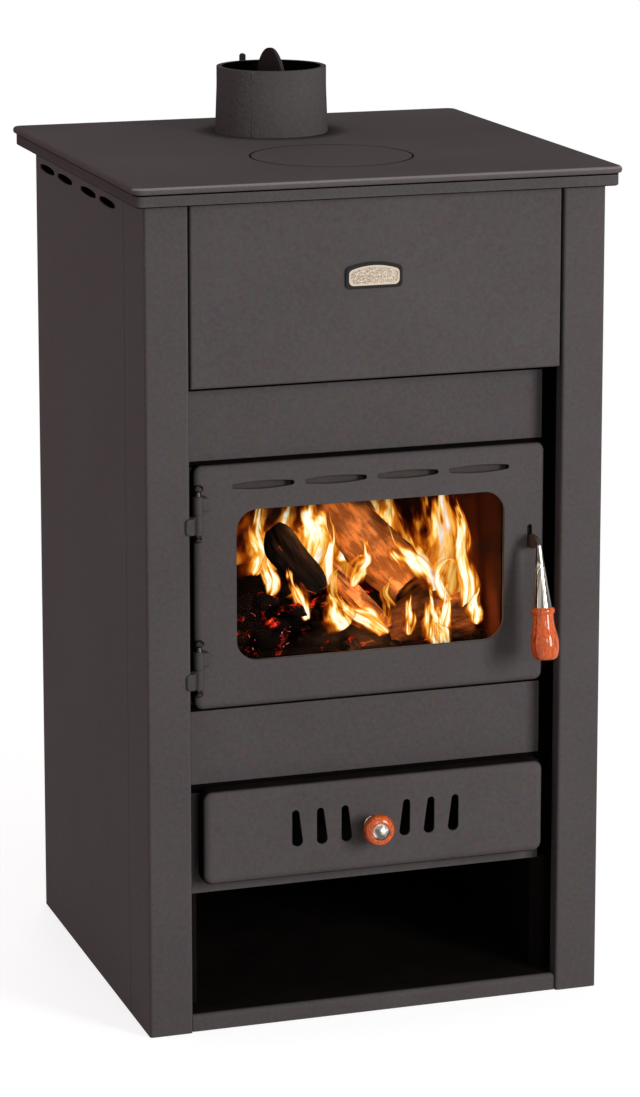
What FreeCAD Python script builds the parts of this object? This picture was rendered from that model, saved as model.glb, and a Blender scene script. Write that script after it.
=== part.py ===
import FreeCAD, Part
import math
import os

V = FreeCAD.Vector

# A wood-burning boiler stove in millimetres. X is to the right seen from the front, Y goes to the back
# and Z is up. The origin lies on the floor in the middle of the casing's footprint.

# Casing
BODY_WIDTH = 480.0
BODY_DEPTH = 430.0
HOB_HEIGHT = 862.0
SHEET = 2.0
POST_FACE = 44.5
POST_SIDE = 74.0
POST_RETURN = 16.0
POST_BEND = 3.0
SEAM_GAP = 0.8
SEAM_LAP = 12.0
BACK_FLANGE = 22.0
FIT_GAP = 0.5
SIDE_SLOT_LENGTH = 60.0
SIDE_SLOT_END = 5.0
SIDE_SLOT_MIDDLE = 8.5
SIDE_SLOT_DROP = 35.0
SIDE_SLOT_SHIFT = 5.5
SIDE_SLOT_INNER = 47.5
SIDE_SLOT_OUTER = 121.5
SCREW_RADIUS = 2.0
SCREW_HEAD_RADIUS = 4.0
SCREW_HEAD = 2.4
SCREW_REACH = 8.0
BACK_SCREW_ROWS = 4
BACK_SCREW_MARGIN = 60.0

# Base tray and wood bay
BASE_HEIGHT = 16.7
BASE_RECESS = 3.0
BASE_NOSE = 4.5
BASE_GAP = 0.8
BASE_FOOT = 24.0
BAY_WALL_INSET = 4.0

# Upper front panel and badge
PANEL_RISE = 80.5
PANEL_RECESS = 2.0
PANEL_GAP = 2.0
PANEL_FLANGE = 18.0
PANEL_BEND = 2.5
BADGE_X = -5.0
BADGE_BELOW_MIDDLE = 5.0
BADGE_HALF = 29.4
BADGE_SIDE = 21.2
BADGE_RISE = 5.0
BADGE_CORNER = 5.0
BADGE_DEPTH = 2.0
BADGE_RIM = 3.0
BADGE_RECESS = 1.2
BADGE_PLATE = 1.4
BADGE_FIT = 0.15
BADGE_BORDER = 1.7
BADGE_FIELD = 0.5

# Hob plate, its frame and the lid
HOB_THICKNESS = 7.0
HOB_SIDE_LIP = 14.0
HOB_FRONT_LIP = 16.0
HOB_BACK_LIP = 52.0
HOB_CORNER = 11.0
HOB_TOP_NOSE = 3.2
HOB_UNDER_NOSE = 2.4
SKIRT_DROP = 13.0
SKIRT_INSET = 3.5
SKIRT_WALL = 5.0
SKIRT_NOSE = 2.0
FRAME_FLANGE = 4.0
FRAME_SEAT = 12.0
FRAME_BACK_SEAT = 8.0
LID_Y = 149.6
LID_RADIUS = 83.0
LID_GAP = 0.6
LID_RIM = 4.0
LID_LEDGE = 7.0
LID_BOSS = 5.0
SEAT_GAP = 0.3

# Flue collar and damper
COLLAR_FROM_BACK = 76.6
COLLAR_HEIGHT = 70.0
COLLAR_TOP_RADIUS = 58.4
COLLAR_BASE_RADIUS = 60.2
COLLAR_LAND = 20.0
COLLAR_WALL = 5.5
COLLAR_FLANGE = 6.0
COLLAR_FLANGE_BORE = 46.0
COLLAR_BOLTS = 4
COLLAR_BOLT_RADIUS = 3.0
COLLAR_BOLT_HEAD = 4.0
COLLAR_BOLT_HEAD_RADIUS = 5.6
SPINDLE_RISE = 37.0
SPINDLE_RADIUS = 4.0
SPINDLE_BLIND = 2.5
SPINDLE_OVERHANG = 46.0
DISC_CLEARANCE = 1.6
DISC_THICKNESS = 4.0
DISC_BOSS_RADIUS = 7.0
DISC_BOSS_INSET = 6.0
LEVER_WIDTH = 6.5
LEVER_THICKNESS = 3.0
LEVER_RISE = 35.0
LEVER_EYE_RADIUS = 6.5

# Boiler
BOILER_POST_GAP = 9.0
BOILER_FRONT = 33.0
BOILER_BACK_GAP = 10.0
BOILER_BOTTOM = 135.0
FRONT_PLATE = 5.0
FLOOR_PLATE = 4.0
OUTER_WALL = 3.0
INNER_WALL = 4.0
WATER_GAP = 34.0
JACKET_DROP = 72.0
COVER_PLATE = 4.0
BRIDGE_FRONT = 150.0
BRIDGE_DROP = 222.0
BRIDGE_HEIGHT = 42.0
FIRE_OPENING_OUTSET = 5.0
FIRE_OPENING_LOW_INSET = 22.0
FIRE_OPENING_TOP_INSET = 19.0
FIRE_OPENING_CORNER = 18.0
TRAY_OPENING_GAP = 4.0
TRAY_OPENING_CORNER = 3.0

# Hearth and grate
HEARTH_DROP = 22.5
HEARTH_PLATE = 5.0
GRATE_HALF_X = 90.0
GRATE_HALF_Y = 105.0
GRATE_LAP = 8.0
GRATE_RIM = 5.0
GRATE_DEPTH = 14.0
GRATE_GAP = 1.0
GRATE_SLOTS = 7
GRATE_SLOT_WIDTH = 10.0
GRATE_SLOT_MARGIN = 14.0

# Water connections on the back: inch sockets for flow and return, a half-inch one for the sensor
SOCKET_BORE = 15.15
SOCKET_RADIUS = 20.5
SOCKET_LENGTH = 58.0
SOCKET_SIDE_INSET = 66.5
FLOW_DROP = 142.0
RETURN_RISE = 60.0
SENSOR_BORE = 9.3
SENSOR_RADIUS = 13.5
SENSOR_LENGTH = 40.0
SENSOR_X = 0.0
SOCKET_HOLE_GAP = 2.0
SOCKET_STEP = 2.0

# Door
DOOR_FACE = 19.5
DOOR_POST_GAP = 9.5
DOOR_RISE = 80.5
DOOR_HEIGHT = 250.0
DOOR_SHEET = 3.0
DOOR_DEPTH = 10.5
DOOR_CORNER = 9.5
DOOR_NOSE = 7.5
WINDOW_SIDE_FRAME = 44.0
WINDOW_LOW_FRAME = 47.5
WINDOW_TOP_FRAME = 47.5
WINDOW_CORNER = 22.0
AIR_SLOT_DROP = 23.0
AIR_SLOT_LENGTH = 65.0
AIR_SLOT_PITCH = 76.0
AIR_SLOT_END = 5.0
AIR_SLOT_MIDDLE = 8.6
GLASS_LAP = 9.0
GLASS_CORNER = 6.0
GASKET = 1.5
GLASS_THICKNESS = 4.0
CLIP_WIDTH = 9.0
CLIP_FOOT = 13.0
CLIP_TONGUE = 7.0
CLIP_SHEET = 1.5
CLIP_GAP = 0.6
CLIP_SCREW_RADIUS = 1.5
CLIP_HEAD_RADIUS = 3.2
CLIP_HEAD = 2.0
ROPE_GLASS_GAP = 2.3
ROPE_TOP_INSET = 12.6
ROPE_BOTTOM_INSET = 13.0
ROPE_WIDTH = 7.4
ROPE_ROUND = 2.5
ROPE_CORNER = 8.0
ROPE_GAP = 0.4
CHANNEL_SHEET = 1.0
CHANNEL_LIP = 4.0
AIR_WASH_LAP = 3.0
AIR_WASH_SHEET = 1.5

# Hinges
HINGE_POST_GAP = 11.0
HINGE_Y = 10.0
HINGE_INSET = 17.5
HINGE_BARREL = 5.2
HINGE_PIN = 3.0
HINGE_RUNNING = 0.05
HINGE_FINIAL = 8.5
HINGE_POST_KNUCKLE = 20.0
HINGE_DOOR_KNUCKLE = 18.0
HINGE_KNUCKLE_GAP = 0.3
HINGE_NECK = 6.5
HINGE_NECK_RADIUS = 4.0
HINGE_HEAD = 4.2
HINGE_HEAD_RADIUS = 5.5
HINGE_EAR = 12.5
HINGE_EAR_INSET = 1.5
HINGE_EAR_CORNER = 4.5
HINGE_EAR_EDGE = 2.5
HINGE_PAD_REACH = 5.0
HINGE_PAD_DEPTH = 2.4
HINGE_PAD_WIDTH = 8.0
HINGE_PAD_CORNER = 4.0

# Latch and handle
LATCH_EDGE = 16.7
LATCH_DROP = 100.5
LATCH_BEHIND_SHEET = 4.0
LATCH_PIN = 2.0
LATCH_RUNNING = 0.05
LATCH_CAM = 4.2
LATCH_NOSE_REACH = 5.2
LATCH_NOSE_HEIGHT = 3.2
STRAP_THICKNESS = 4.0
STRAP_ABOVE = 7.0
STRAP_BELOW = 7.5
STRAP_FORWARD = 33.0
STRAP_SHOULDER = 5.0
SLOT_WIDTH = 5.2
SLOT_ABOVE = 16.0
SLOT_BELOW = 8.5
BRACKET_CHEEK = 2.5
BRACKET_GAP = 0.4
BRACKET_BELOW = 7.0
BRACKET_ABOVE = 3.4
KEEPER_SHEET = 1.8
KEEPER_HALF = 6.0
KEEPER_CLEAR = 0.6
KEEPER_LIP = 9.0
KEEPER_FOOT = 12.0
HANDLE_LEAN = 11.3
TANG_RADIUS = 2.2
CONE_LENGTH = 63.0
CONE_TOP_RADIUS = 2.7
CONE_BASE_RADIUS = 9.4
GRIP_LENGTH = 53.0
GRIP_BEAD_RADIUS = 12.2
GRIP_WAIST_RADIUS = 10.8
GRIP_BELLY_RADIUS = 14.4
GRIP_END_RADIUS = 8.0
TANG_DEPTH = 34.0
TANG_FIT = 0.05

# Ash drawer
DRAWER_FACE = 5.0
DRAWER_POST_GAP = 13.5
DRAWER_RISE = 15.0
DRAWER_HEIGHT = 98.0
DRAWER_SHEET = 2.5
DRAWER_DEPTH = 18.0
DRAWER_CORNER = 10.5
DRAWER_NOSE = 8.5
DRAWER_SLOT_FIRST = 31.0
DRAWER_SLOT_PITCH = 26.2
DRAWER_SLOT_COUNT = 3
DRAWER_SLOT_RISE = 32.5
DRAWER_SLOT_HEIGHT = 38.5
DRAWER_SLOT_TOP_RADIUS = 3.9
DRAWER_SLOT_LOW_RADIUS = 5.8
TRAY_SIDE_GAP = 9.5
TRAY_LOW_INSET = 10.0
TRAY_TOP_INSET = 12.0
TRAY_FRONT = 24.0
TRAY_BACK_GAP = 34.0
TRAY_SHEET = 1.5
TRAY_SILL = 18.0
RUNNER_WIDTH = 18.0
RUNNER_SHEET = 2.0
RUNNER_LEG = 14.0

# Air shutter and its knob
SHUTTER_SHEET = 1.5
SHUTTER_GAP = 0.3
SHUTTER_TRAVEL = 13.0
SHUTTER_MARGIN = 7.0
SHUTTER_RELIEF = 0.8
GUIDE_SHEET = 1.2
GUIDE_LIP = 5.0
KNOB_X = -4.0
KNOB_RISE = 48.5
KNOB_BOLT_RADIUS = 3.0
KNOB_FERRULE = 9.5
KNOB_FERRULE_RADIUS = 9.5
KNOB_FERRULE_NECK = 6.0
KNOB_LENGTH = 19.0
KNOB_RADIUS = 16.0
KNOB_FACE_RADIUS = 10.5
KNOB_CAP = 5.0
KNOB_CAP_RADIUS = 8.8
KNOB_BOLT_TAIL = 5.0

# Casing planes that follow from the sizes above
FRONT = -BODY_DEPTH / 2
BACK = BODY_DEPTH / 2
SIDE = BODY_WIDTH / 2
HOB_UNDER = HOB_HEIGHT - HOB_THICKNESS
CASING_TOP = HOB_UNDER - FRAME_FLANGE
POST_INNER = SIDE - POST_FACE
SIDE_SLOT_MIDDLE_Y = (POST_SIDE + BODY_DEPTH) / 2 + SIDE_SLOT_SHIFT
PANEL_FACE_Y = FRONT + PANEL_RECESS
BACK_PANEL_Y = BACK - 2 * SHEET
COLLAR_AT = V(0, BACK - COLLAR_FROM_BACK, HOB_HEIGHT)
LID_AT = V(0, FRONT + LID_Y, HOB_HEIGHT)
SPINDLE_Z = HOB_HEIGHT + SPINDLE_RISE

# Boiler planes
BOILER_HALF = POST_INNER - BOILER_POST_GAP
FASCIA_Y = FRONT + BOILER_FRONT
FASCIA_BACK = FASCIA_Y + FRONT_PLATE
BOILER_BACK_Y = BACK - BOILER_BACK_GAP
FLOOR_TOP = BOILER_BOTTOM + FLOOR_PLATE
JACKET_TOP = HOB_HEIGHT - JACKET_DROP
BRIDGE_LOW = HOB_HEIGHT - BRIDGE_DROP
SOCKET_X = BOILER_HALF - SOCKET_SIDE_INSET
FLOW_Z = HOB_HEIGHT - FLOW_DROP
RETURN_Z = BOILER_BOTTOM + RETURN_RISE
OUTER_INNER_X = BOILER_HALF - OUTER_WALL
WATER_INNER_X = OUTER_INNER_X - WATER_GAP
FIREBOX_HALF = WATER_INNER_X - INNER_WALL
OUTER_INNER_Y = BOILER_BACK_Y - OUTER_WALL
WATER_INNER_Y = OUTER_INNER_Y - WATER_GAP
FIREBOX_BACK = WATER_INNER_Y - INNER_WALL

# Drawer planes
DRAWER_HALF = POST_INNER - DRAWER_POST_GAP
DRAWER_BOTTOM = BOILER_BOTTOM + DRAWER_RISE
DRAWER_TOP = DRAWER_BOTTOM + DRAWER_HEIGHT
DRAWER_Y = FRONT + DRAWER_FACE
DRAWER_SHEET_BACK = DRAWER_Y + DRAWER_SHEET
DRAWER_SLOT_LOW = DRAWER_BOTTOM + DRAWER_SLOT_RISE
DRAWER_SLOT_HIGH = DRAWER_SLOT_LOW + DRAWER_SLOT_HEIGHT
TRAY_HALF = FIREBOX_HALF - TRAY_SIDE_GAP
TRAY_BOTTOM = DRAWER_BOTTOM + TRAY_LOW_INSET
TRAY_TOP = DRAWER_TOP - TRAY_TOP_INSET
TRAY_BACK_Y = FIREBOX_BACK - TRAY_BACK_GAP
KNOB_Z = DRAWER_BOTTOM + KNOB_RISE

# Door planes, and the upper panel above the door
DOOR_HALF = POST_INNER - DOOR_POST_GAP
DOOR_BOTTOM = DRAWER_TOP + DOOR_RISE
DOOR_TOP = DOOR_BOTTOM + DOOR_HEIGHT
DOOR_Y = FRONT + DOOR_FACE
DOOR_SHEET_BACK = DOOR_Y + DOOR_SHEET
WINDOW_HALF = DOOR_HALF - WINDOW_SIDE_FRAME
WINDOW_BOTTOM = DOOR_BOTTOM + WINDOW_LOW_FRAME
WINDOW_TOP = DOOR_TOP - WINDOW_TOP_FRAME
PANEL_BOTTOM = DOOR_TOP + PANEL_RISE
BADGE_BOTTOM = (PANEL_BOTTOM + CASING_TOP) / 2 - BADGE_BELOW_MIDDLE
AIR_SLOT_Z = DOOR_TOP - AIR_SLOT_DROP
ROPE_X = WINDOW_HALF + GLASS_LAP + ROPE_GLASS_GAP + ROPE_WIDTH / 2
FIRE_OPENING_HALF = WINDOW_HALF + FIRE_OPENING_OUTSET
HEARTH_TOP = DOOR_BOTTOM - HEARTH_DROP
GLASS_Y = DOOR_SHEET_BACK + GASKET
GLASS_BACK = GLASS_Y + GLASS_THICKNESS
HINGE_X = -POST_INNER + HINGE_POST_GAP
LATCH_X = DOOR_HALF - LATCH_EDGE
LATCH_Y = DOOR_SHEET_BACK + LATCH_BEHIND_SHEET
LATCH_Z = DOOR_TOP - LATCH_DROP
HANDLE_Y = LATCH_Y - STRAP_FORWARD

TINY = 0.001


# Shared ways to make shapes

def block(x, y, z):
    """A box from three (low, high) pairs."""
    return Part.makeBox(x[1] - x[0], y[1] - y[0], z[1] - z[0], V(x[0], y[0], z[0]))


def rod(radius, start, end):
    """A round bar between two points."""
    return Part.makeCylinder(radius, (end - start).Length, start, end - start)


def mirrored(shape):
    """The same shape on the other side of the stove's middle plane."""
    return shape.mirror(V(0, 0, 0), V(1, 0, 0))


def joined(first, *others):
    """One solid from touching pieces, without the seams."""
    return first.fuse(list(others)).removeSplitter()


def edges_along(shape, axis):
    """Straight edges that run along one axis, given as a unit vector."""
    found = []
    for edge in shape.Edges:
        if not isinstance(edge.Curve, Part.Line):
            continue
        if abs(abs(edge.tangentAt(edge.FirstParameter).dot(axis)) - 1) < TINY:
            found.append(edge)
    return found


def edges_on(shape, axis, level):
    """Edges that lie in the plane at one level of an axis, given as a unit vector."""
    found = []
    for edge in shape.Edges:
        points = edge.discretize(5)
        if max(abs(p.dot(axis) - level) for p in points) < TINY:
            found.append(edge)
    return found


def edges_at(shape, x, y):
    """Upright edges at one place in plan."""
    return [e for e in edges_along(shape, V(0, 0, 1))
            if abs(e.CenterOfMass.x - x) < TINY and abs(e.CenterOfMass.y - y) < TINY]


def rounded_block(x, y, z, corner):
    """A box whose four corners, seen from the front, are rounded."""
    shape = block(x, y, z)
    return shape.makeFillet(corner, edges_along(shape, V(0, 1, 0)))


def nosed_block(x, y, z, corner, nose):
    """A rounded box whose front outline is rolled over."""
    shape = rounded_block(x, y, z, corner)
    return shape.makeFillet(nose, edges_on(shape, V(0, 1, 0), y[0]))


def pressed_pan(x, y, z, sheet, corner, nose):
    """A pressed sheet front: rolled edges in front and open behind."""
    outer = nosed_block(x, y, z, corner, nose)
    inner = nosed_block(
        (x[0] + sheet, x[1] - sheet),
        (y[0] + sheet, y[1] + sheet),
        (z[0] + sheet, z[1] - sheet),
        corner - sheet,
        nose - sheet,
    )
    return outer.cut(inner)


def plan_block(x, y, z, corner):
    """A box whose four upright corners are rounded."""
    shape = block(x, y, z)
    return shape.makeFillet(corner, edges_along(shape, V(0, 0, 1)))


def arc(start, middle, end):
    """An edge through three points."""
    return Part.Arc(start, middle, end).toShape()


def line(start, end):
    """A straight edge."""
    return Part.LineSegment(start, end).toShape()


def prism(edges, along):
    """A solid from a closed outline and the vector it is drawn out along."""
    return Part.Face(Part.Wire(edges)).extrude(along)


def turned(profile, at, axis):
    """A turned piece from (distance along the axis, radius) pairs, standing at a point."""
    points = [V(0, 0, profile[0][0])]
    points += [V(radius, 0, along) for along, radius in profile]
    points += [V(0, 0, profile[-1][0])]
    wire = Part.makePolygon(points + [points[0]])
    shape = Part.Face(wire).revolve(V(0, 0, 0), V(0, 0, 1), 360)
    turn = FreeCAD.Rotation(V(0, 0, 1), axis)
    shape.Placement = FreeCAD.Placement(at, turn)
    return shape


def lens_slot(at, across, up, depth, length, end, middle):
    """The cutter of a long slot with rounded ends that swells towards its middle."""
    half = length / 2 - end / 2
    left_low = at - across * half - up * (end / 2)
    left_high = at - across * half + up * (end / 2)
    right_low = at + across * half - up * (end / 2)
    right_high = at + across * half + up * (end / 2)
    outline = [
        arc(left_low, at - up * (middle / 2), right_low),
        arc(right_low, at + across * (length / 2), right_high),
        arc(right_high, at + up * (middle / 2), left_high),
        arc(left_high, at - across * (length / 2), left_low),
    ]
    return prism(outline, depth)


def drop_slot(outer_x, side, low, high, top_radius, low_radius, y, depth):
    """The cutter of a drop-shaped slot: its outer edge is upright and its inner edge slants."""
    top = V(outer_x - side * top_radius, y, high - top_radius)
    foot = V(outer_x - side * low_radius, y, low + low_radius)
    run = foot - top
    unit = V(run).normalize()
    lean = math.degrees(math.acos((top_radius - low_radius) / run.Length))
    normals = []
    for turn in (lean, -lean):
        normals.append(FreeCAD.Rotation(V(0, 1, 0), turn).multVec(unit))
    first, second = normals
    outline = [
        line(top + first * top_radius, foot + first * low_radius),
        arc(foot + first * low_radius, foot + unit * low_radius, foot + second * low_radius),
        line(foot + second * low_radius, top + second * top_radius),
        arc(top + second * top_radius, top - unit * top_radius, top + first * top_radius),
    ]
    return prism(outline, V(0, depth, 0))


# Casing

def front_post():
    """The left post: a folded sheet with a face, a side and a short return."""
    outer, inner = -SIDE, -POST_INNER
    height = (0, CASING_TOP)
    side = block((outer, outer + SHEET), (FRONT, FRONT + POST_SIDE), height)
    face = block((outer, inner), (FRONT, FRONT + SHEET), height)
    back = block((inner - SHEET, inner), (FRONT, FRONT + POST_RETURN), height)
    post = joined(face, side, back)
    bends = edges_at(post, outer, FRONT) + edges_at(post, inner, FRONT)
    return post.makeFillet(POST_BEND, bends)


def side_panel():
    """The left panel: it laps behind the post and folds round the back edge."""
    outer = -SIDE
    seam = FRONT + POST_SIDE + SEAM_GAP
    height = (0, CASING_TOP)
    sheet = block((outer, outer + SHEET), (seam, BACK), height)
    lap = block((outer + SHEET, outer + 2 * SHEET), (seam - SEAM_LAP, seam + SEAM_LAP), height)
    fold = block((outer, outer + BACK_FLANGE), (BACK - SHEET, BACK), height)
    panel = joined(sheet, lap, fold)
    panel = panel.makeFillet(SHEET * 0.9, edges_at(panel, outer, BACK))
    for offset in (-SIDE_SLOT_OUTER, -SIDE_SLOT_INNER, SIDE_SLOT_INNER, SIDE_SLOT_OUTER):
        at = V(outer - SHEET, FRONT + SIDE_SLOT_MIDDLE_Y + offset, HOB_HEIGHT - SIDE_SLOT_DROP)
        panel = panel.cut(lens_slot(at, V(0, 1, 0), V(0, 0, 1), V(3 * SHEET, 0, 0),
                                    SIDE_SLOT_LENGTH, SIDE_SLOT_END, SIDE_SLOT_MIDDLE))
    for at in back_screw_places():
        panel = panel.cut(rod(SCREW_RADIUS + TINY, at - V(0, 2 * SHEET, 0), at + V(0, SHEET, 0)))
    return panel


def back_screw_places():
    """Points on the casing's back, two upright rows."""
    step = (CASING_TOP - 2 * BACK_SCREW_MARGIN) / (BACK_SCREW_ROWS - 1)
    places = []
    for side in (-1, 1):
        for row in range(BACK_SCREW_ROWS):
            x = side * (SIDE - BACK_FLANGE / 2)
            places.append(V(x, BACK, BACK_SCREW_MARGIN + row * step))
    return places


def back_panel():
    """The flat back, screwed to the folds of the side panels, with holes for the sockets."""
    half = SIDE - SHEET - FIT_GAP
    panel = block((-half, half), (BACK_PANEL_Y, BACK - SHEET), (0, CASING_TOP))
    for at, radius, _, _ in socket_places():
        start = V(at.x, BACK_PANEL_Y - SHEET, at.z)
        panel = panel.cut(rod(radius + SOCKET_HOLE_GAP, start, start + V(0, 4 * SHEET, 0)))
    for at in back_screw_places():
        panel = panel.cut(rod(SCREW_RADIUS + TINY, at - V(0, 3 * SHEET, 0), at))
    return panel


def back_screws():
    """Pan-head screws through the folds and the back panel."""
    screws = []
    for at in back_screw_places():
        shank = rod(SCREW_RADIUS, at - V(0, SCREW_REACH, 0), at)
        head = rod(SCREW_HEAD_RADIUS, at, at + V(0, SCREW_HEAD, 0))
        head = head.makeFillet(SCREW_HEAD * 0.6, edges_on(head, V(0, 1, 0), at.y + SCREW_HEAD))
        screws.append(joined(shank, head))
    return Part.makeCompound(screws)


def upper_front_panel():
    """The plain panel between the posts, folded back below and at both sides."""
    half = POST_INNER - PANEL_GAP
    height = (PANEL_BOTTOM, CASING_TOP)
    depth = (PANEL_FACE_Y, PANEL_FACE_Y + PANEL_FLANGE)
    panel = block((-half, half), (PANEL_FACE_Y, PANEL_FACE_Y + SHEET), height)
    foot = block((-half, half), depth, (PANEL_BOTTOM, PANEL_BOTTOM + SHEET))
    left = block((-half, -half + SHEET), depth, height)
    panel = joined(panel, foot, left, mirrored(left))
    front_edges = [e for e in edges_on(panel, V(0, 1, 0), PANEL_FACE_Y)
                   if e.CenterOfMass.z < CASING_TOP - TINY]
    return panel.makeFillet(PANEL_BEND, front_edges)


def badge_outline(inset, y, depth):
    """A plate with a flat foot and an arched top, seen from the front."""
    half = BADGE_HALF - inset
    low = BADGE_BOTTOM + inset
    shoulder = BADGE_BOTTOM + BADGE_SIDE - inset
    crown = BADGE_BOTTOM + BADGE_SIDE + BADGE_RISE - inset
    left_low = V(BADGE_X - half, y, low)
    right_low = V(BADGE_X + half, y, low)
    left_high = V(BADGE_X - half, y, shoulder)
    right_high = V(BADGE_X + half, y, shoulder)
    outline = [
        line(left_low, right_low),
        line(right_low, right_high),
        arc(right_high, V(BADGE_X, y, crown), left_high),
        line(left_high, left_low),
    ]
    plate = prism(outline, V(0, depth, 0))
    return plate.makeFillet(BADGE_CORNER, edges_along(plate, V(0, 1, 0)))


def badge_bezel():
    """The dark surround, with a recess for the plate."""
    face = PANEL_FACE_Y - BADGE_DEPTH
    bezel = badge_outline(0, face, BADGE_DEPTH)
    return bezel.cut(badge_outline(BADGE_RIM, face, BADGE_RECESS))


def badge_plate():
    """The bare metal plate that lies in the recess, with a raised border round its field."""
    floor = PANEL_FACE_Y - BADGE_DEPTH + BADGE_RECESS
    inset = BADGE_RIM + BADGE_FIT
    plate = badge_outline(inset, floor - BADGE_PLATE, BADGE_PLATE)
    return plate.cut(badge_outline(inset + BADGE_BORDER, floor - BADGE_PLATE, BADGE_FIELD))


# Base and wood bay

def base_tray():
    """The floor of the stove: an upturned tray with a rolled front lip, feet and a middle stiffener."""
    lip_half = POST_INNER - BASE_GAP
    half = SIDE - 2 * SHEET - FIT_GAP
    front = FRONT + BASE_RECESS
    behind_posts = FRONT + POST_RETURN + FIT_GAP
    back = BACK_PANEL_Y - FIT_GAP
    lip = block((-lip_half, lip_half), (front, behind_posts), (0, BASE_HEIGHT))
    top_front = [e for e in edges_on(lip, V(0, 1, 0), front)
                 if abs(e.CenterOfMass.z - BASE_HEIGHT) < TINY]
    lip = lip.makeFillet(BASE_NOSE, top_front)
    tray = joined(lip, block((-half, half), (behind_posts, back), (0, BASE_HEIGHT)))
    depth = (behind_posts + SHEET, back - SHEET)
    hollow = block((-half + SHEET, -BASE_FOOT / 2), depth, (SHEET, BASE_HEIGHT - SHEET))
    mouth = block((-half + BASE_FOOT, -BASE_FOOT / 2), depth, (-SHEET, SHEET))
    hollow = joined(hollow, mouth)
    return tray.cut(hollow).cut(mirrored(hollow))


def wood_bay_wall():
    """The left wall of the wood bay, which carries the boiler and closes the gap to the post."""
    inner = BOILER_HALF - BAY_WALL_INSET
    height = (BASE_HEIGHT, BOILER_BOTTOM)
    wall = block((-inner, -inner + SHEET), (FASCIA_BACK, BOILER_BACK_Y), height)
    closer = block((-SIDE + POST_FACE / 2, -inner), (FASCIA_BACK, FASCIA_BACK + SHEET), height)
    return joined(wall, closer)


# Boiler

def boiler_floor_plate():
    """The bottom of the boiler and the ceiling of the wood bay."""
    return block((-BOILER_HALF, BOILER_HALF), (FASCIA_BACK, BOILER_BACK_Y), (BOILER_BOTTOM, FLOOR_TOP))


def boiler_front_plate():
    """The thick front, with the fire opening and the drawer opening."""
    plate = block((-BOILER_HALF, BOILER_HALF), (FASCIA_Y, FASCIA_BACK), (BOILER_BOTTOM, HOB_UNDER))
    through = (FASCIA_Y - SHEET, FASCIA_BACK + SHEET)
    fire = rounded_block(
        (-FIRE_OPENING_HALF, FIRE_OPENING_HALF),
        through,
        (DOOR_BOTTOM + FIRE_OPENING_LOW_INSET, DOOR_TOP - FIRE_OPENING_TOP_INSET),
        FIRE_OPENING_CORNER,
    )
    tray_half = TRAY_HALF + TRAY_OPENING_GAP
    tray = rounded_block(
        (-tray_half, tray_half),
        through,
        (TRAY_BOTTOM - TRAY_OPENING_GAP, TRAY_TOP + TRAY_OPENING_GAP),
        TRAY_OPENING_CORNER,
    )
    return plate.cut(fire).cut(tray)


def jacket_outer_side():
    """The left outer wall of the water jacket."""
    x = (-BOILER_HALF, -OUTER_INNER_X)
    return block(x, (FASCIA_BACK, BOILER_BACK_Y), (FLOOR_TOP, HOB_UNDER))


def jacket_outer_back():
    """The outer back wall, bored where the sockets stand."""
    wall = block((-OUTER_INNER_X, OUTER_INNER_X), (OUTER_INNER_Y, BOILER_BACK_Y), (FLOOR_TOP, HOB_UNDER))
    for at, _, bore, _ in socket_places():
        wall = wall.cut(rod(bore - SOCKET_STEP, at - V(0, 2 * OUTER_WALL, 0), at + V(0, OUTER_WALL, 0)))
    return wall


def bridge_span():
    """The depth and height of the water bridge as (low, high) pairs."""
    return (FRONT + BRIDGE_FRONT, FIREBOX_BACK), (BRIDGE_LOW, BRIDGE_LOW + BRIDGE_HEIGHT)


def bridge_bore(half):
    """The water space of the bridge, out to a half width."""
    depth, height = bridge_span()
    return block(
        (-half, half),
        (depth[0] + INNER_WALL, depth[1] - INNER_WALL),
        (height[0] + INNER_WALL, height[1] - INNER_WALL),
    )


def jacket_inner_side():
    """The left wall of the firebox, open where the water bridge meets it."""
    wall = block((-WATER_INNER_X, -FIREBOX_HALF), (FASCIA_BACK, WATER_INNER_Y), (FLOOR_TOP, JACKET_TOP))
    return wall.cut(bridge_bore(WATER_INNER_X + INNER_WALL))


def jacket_inner_back():
    """The back wall of the firebox."""
    return block((-FIREBOX_HALF, FIREBOX_HALF), (FIREBOX_BACK, WATER_INNER_Y), (FLOOR_TOP, JACKET_TOP))


def jacket_top_cover():
    """The U-shaped strip that closes the water space."""
    height = (JACKET_TOP, JACKET_TOP + COVER_PLATE)
    plate = block((-OUTER_INNER_X, OUTER_INNER_X), (FASCIA_BACK, OUTER_INNER_Y), height)
    well = block((-FIREBOX_HALF, FIREBOX_HALF), (FASCIA_BACK - 1, FIREBOX_BACK),
                 (height[0] - 1, height[1] + 1))
    return plate.cut(well)


def water_bridge():
    """The hollow water box over the fire, open into both side walls."""
    depth, height = bridge_span()
    box = block((-FIREBOX_HALF, FIREBOX_HALF), depth, height)
    return box.cut(bridge_bore(FIREBOX_HALF + 1))


def grate_middle():
    """The middle of the grate in plan."""
    return (FASCIA_BACK + FIREBOX_BACK) / 2


def hearth_plate():
    """The firebox floor, with the opening for the grate."""
    plate = block((-FIREBOX_HALF, FIREBOX_HALF), (FASCIA_BACK, FIREBOX_BACK),
                  (HEARTH_TOP - HEARTH_PLATE, HEARTH_TOP))
    half_x = GRATE_HALF_X - GRATE_LAP
    half_y = GRATE_HALF_Y - GRATE_LAP
    middle = grate_middle()
    opening = block((-half_x, half_x), (middle - half_y, middle + half_y),
                    (HEARTH_TOP - 2 * HEARTH_PLATE, HEARTH_TOP + 1))
    return plate.cut(opening)


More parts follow.
